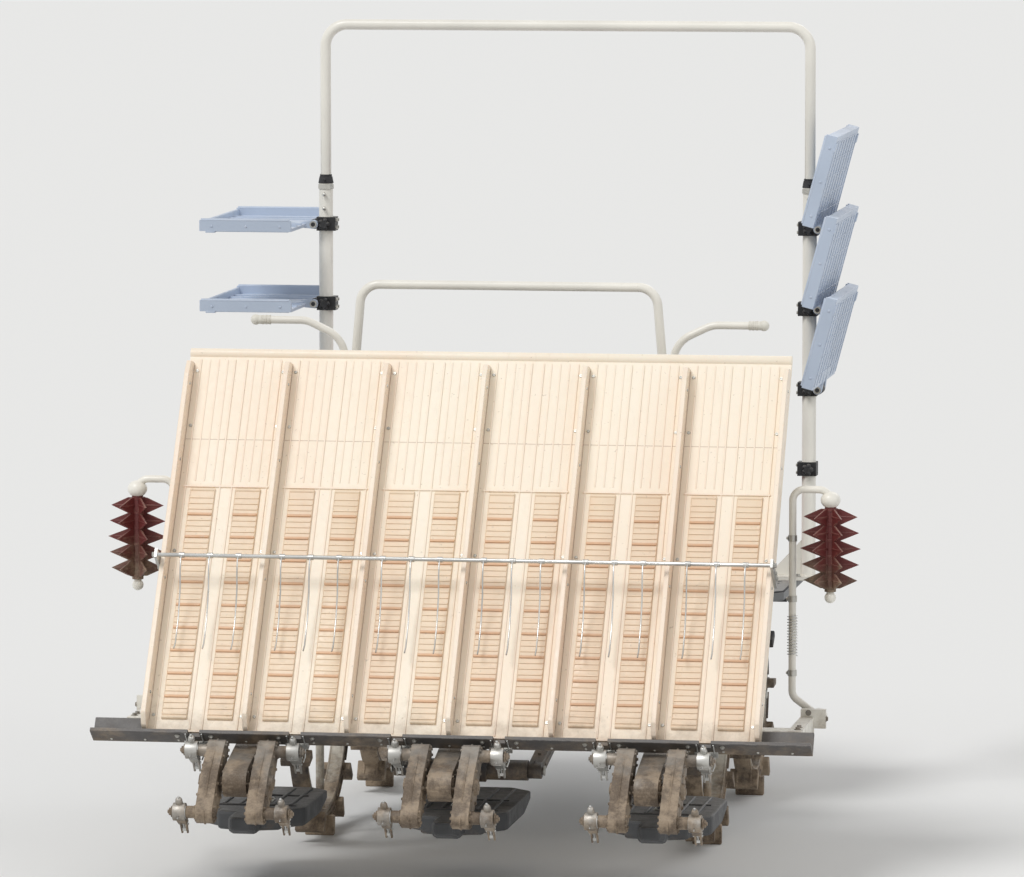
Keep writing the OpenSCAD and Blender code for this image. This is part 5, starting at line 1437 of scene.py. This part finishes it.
def marker_details(side, s):
    """Clamps and spring of a marker's arm, its ball, and the hub and spike ribs of its rotor."""
    arm, rotor = shift(s * 0.93, MARKER.y), shift(s * SPIKES_X, MARKER.y)
    clamps, spring, hub, ball = Shape(arm), Shape(arm), Shape(rotor), Shape(rotor)
    clamps.stub((s * 0.08, 0.0125, MARKER.z), Y * 0.004, 0.0175, segments=24)
    for z in (0.6, 0.82, 1.0):
        clamps.stub((0, 0, z), Z * 0.018, 0.0135, segments=20)
        clamps.bolts([(s * -0.0135, 0, z + 0.009)], X * -s, 0.0075, 0.005)
    turns, steps = 14, 16
    coil = circle(steps, 0.0142) * turns + [(0.0142, 0)]
    spring.tube([(x, y, 0.66 + 0.12 * k / (turns * steps)) for k, (x, y) in enumerate(coil)], 0.0017, 6)
    hub.stubs(grid(0, 0, (0.862, 0.909, 0.956, 1.003, 1.05, 1.092)), Z * 0.006, 0.0195, segments=24)
    for x, y in circle(6):
        spikes = grid(0.018 * x, 0.018 * y, (0.886, 0.933, 0.98, 1.027, 1.074))
        hub.stubs(spikes, Vector((x, y, 0)) * 0.052, 0.0046, 0.0034, 8)
    ball.ball((0, 0, 1.124), 0.0295, 0.86, 24)
    clamps.make(f"marker_{side}_clamps", ZINC, f"marker_{side}")
    spring.make(f"marker_{side}_spring", BRIGHT, f"marker_{side}", smooth=70)
    hub.make(f"marker_{side}_hub", MARKER_RED, f"marker_rotor_{side}", smooth=50)
    ball.make(f"marker_{side}_ball", IVORY, f"marker_{side}", smooth=90)


deck_details()
bonnet_lines()
bonnet_fittings()
engine_details()
dash_panel()
dash_controls()
dash_covers()
steering_details()
seat_base_details()
rail_details()
bracket_details()
for shelf_name in SHELVES:
    shelf_details(shelf_name)
frame_bolts()
step_tread()
case_castings()
frame_hoses()
for side in SIDE_NAMES.items():
    knuckle_details(*side)
for side in SIDE_NAMES.items():
    wheel_details("front", FRONT_AXLE, 5, 12, 0.255, *side)
for side in SIDE_NAMES.items():
    wheel_details("rear", REAR_AXLE, 6, 16, 0.38, *side)
link_details()
for side in SIDE_NAMES.items():
    marker_details(*side)


# Camera, floor and light

AIM = Vector((0.0, -0.1, 1.235))
AZIMUTH = math.radians(9)
ELEVATION = math.radians(5.5)
DISTANCE = 22.0
FLOOR_HALF = 400
# Name, direction from the object, strength and angle in degrees of each light
SUNS = (("key", (-0.55, -0.75, 1.15), 1.45, 24), ("fill", (0.9, -0.5, 0.6), 0.28, 40),
        ("back", (0.4, 0.95, 0.85), 0.5, 40))


def put(name, data, place=None, back=None):
    """Adds an object at a place, looking along the opposite of back."""
    obj = bpy.data.objects.new(name, data)
    bpy.context.scene.collection.objects.link(obj)
    if back:
        obj.location = place
        obj.rotation_mode = "QUATERNION"
        obj.rotation_quaternion = (-back).to_track_quat("-Z", "Y")
    return obj


def make_camera():
    """A long lens that looks at AIM from a distance, slightly from the right and above."""
    back = Vector((math.sin(AZIMUTH) * math.cos(ELEVATION), -math.cos(AZIMUTH) * math.cos(ELEVATION),
                   math.sin(ELEVATION)))
    data = bpy.data.cameras.new("camera")
    data.lens = 254
    data.sensor_width = 36
    data.clip_end = 1000
    bpy.context.scene.camera = put("camera", data, AIM + back * DISTANCE, back)


def make_floor():
    mesh = bpy.data.meshes.new("floor")
    corners = [(x * FLOOR_HALF, y * FLOOR_HALF, 0) for x, y in ((-1, -1), (1, -1), (1, 1), (-1, 1))]
    mesh.from_pydata(corners, [], [(0, 1, 2, 3)])
    mesh.materials.append(Shader("floor").finish((0.8, 0.8, 0.79), 0.95, Specular_IOR_Level=0.0))
    floor = put("floor", mesh)


def make_world():
    """Pale surroundings that are brighter where the camera, glass and glossy faces see them."""
    world = bpy.data.worlds.new("studio")
    bpy.context.scene.world = world
    world.use_nodes = True
    tree = Tree(world.node_tree)
    rays = world.node_tree.nodes.new("ShaderNodeLightPath").outputs
    seen = tree.math("MAXIMUM", rays["Is Camera Ray"], rays["Is Transmission Ray"])
    seen = tree.math("MAXIMUM", seen, rays["Is Glossy Ray"])
    background = world.node_tree.nodes["Background"].inputs
    tree.feed(background["Color"], (1, 1, 1))
    tree.feed(background["Strength"], tree.add("ShaderNodeMapRange", "Result",
                                               {"Value": seen, "To Min": 0.5, "To Max": 0.9}))


def make_suns():
    for name, direction, strength, angle in SUNS:
        data = bpy.data.lights.new(name, "SUN")
        data.energy = strength
        data.angle = math.radians(angle)
        put(name, data, Vector(direction) * 6, Vector(direction))


make_camera()
make_floor()
make_world()
make_suns()
bpy.context.scene.view_settings.view_transform = "Standard"
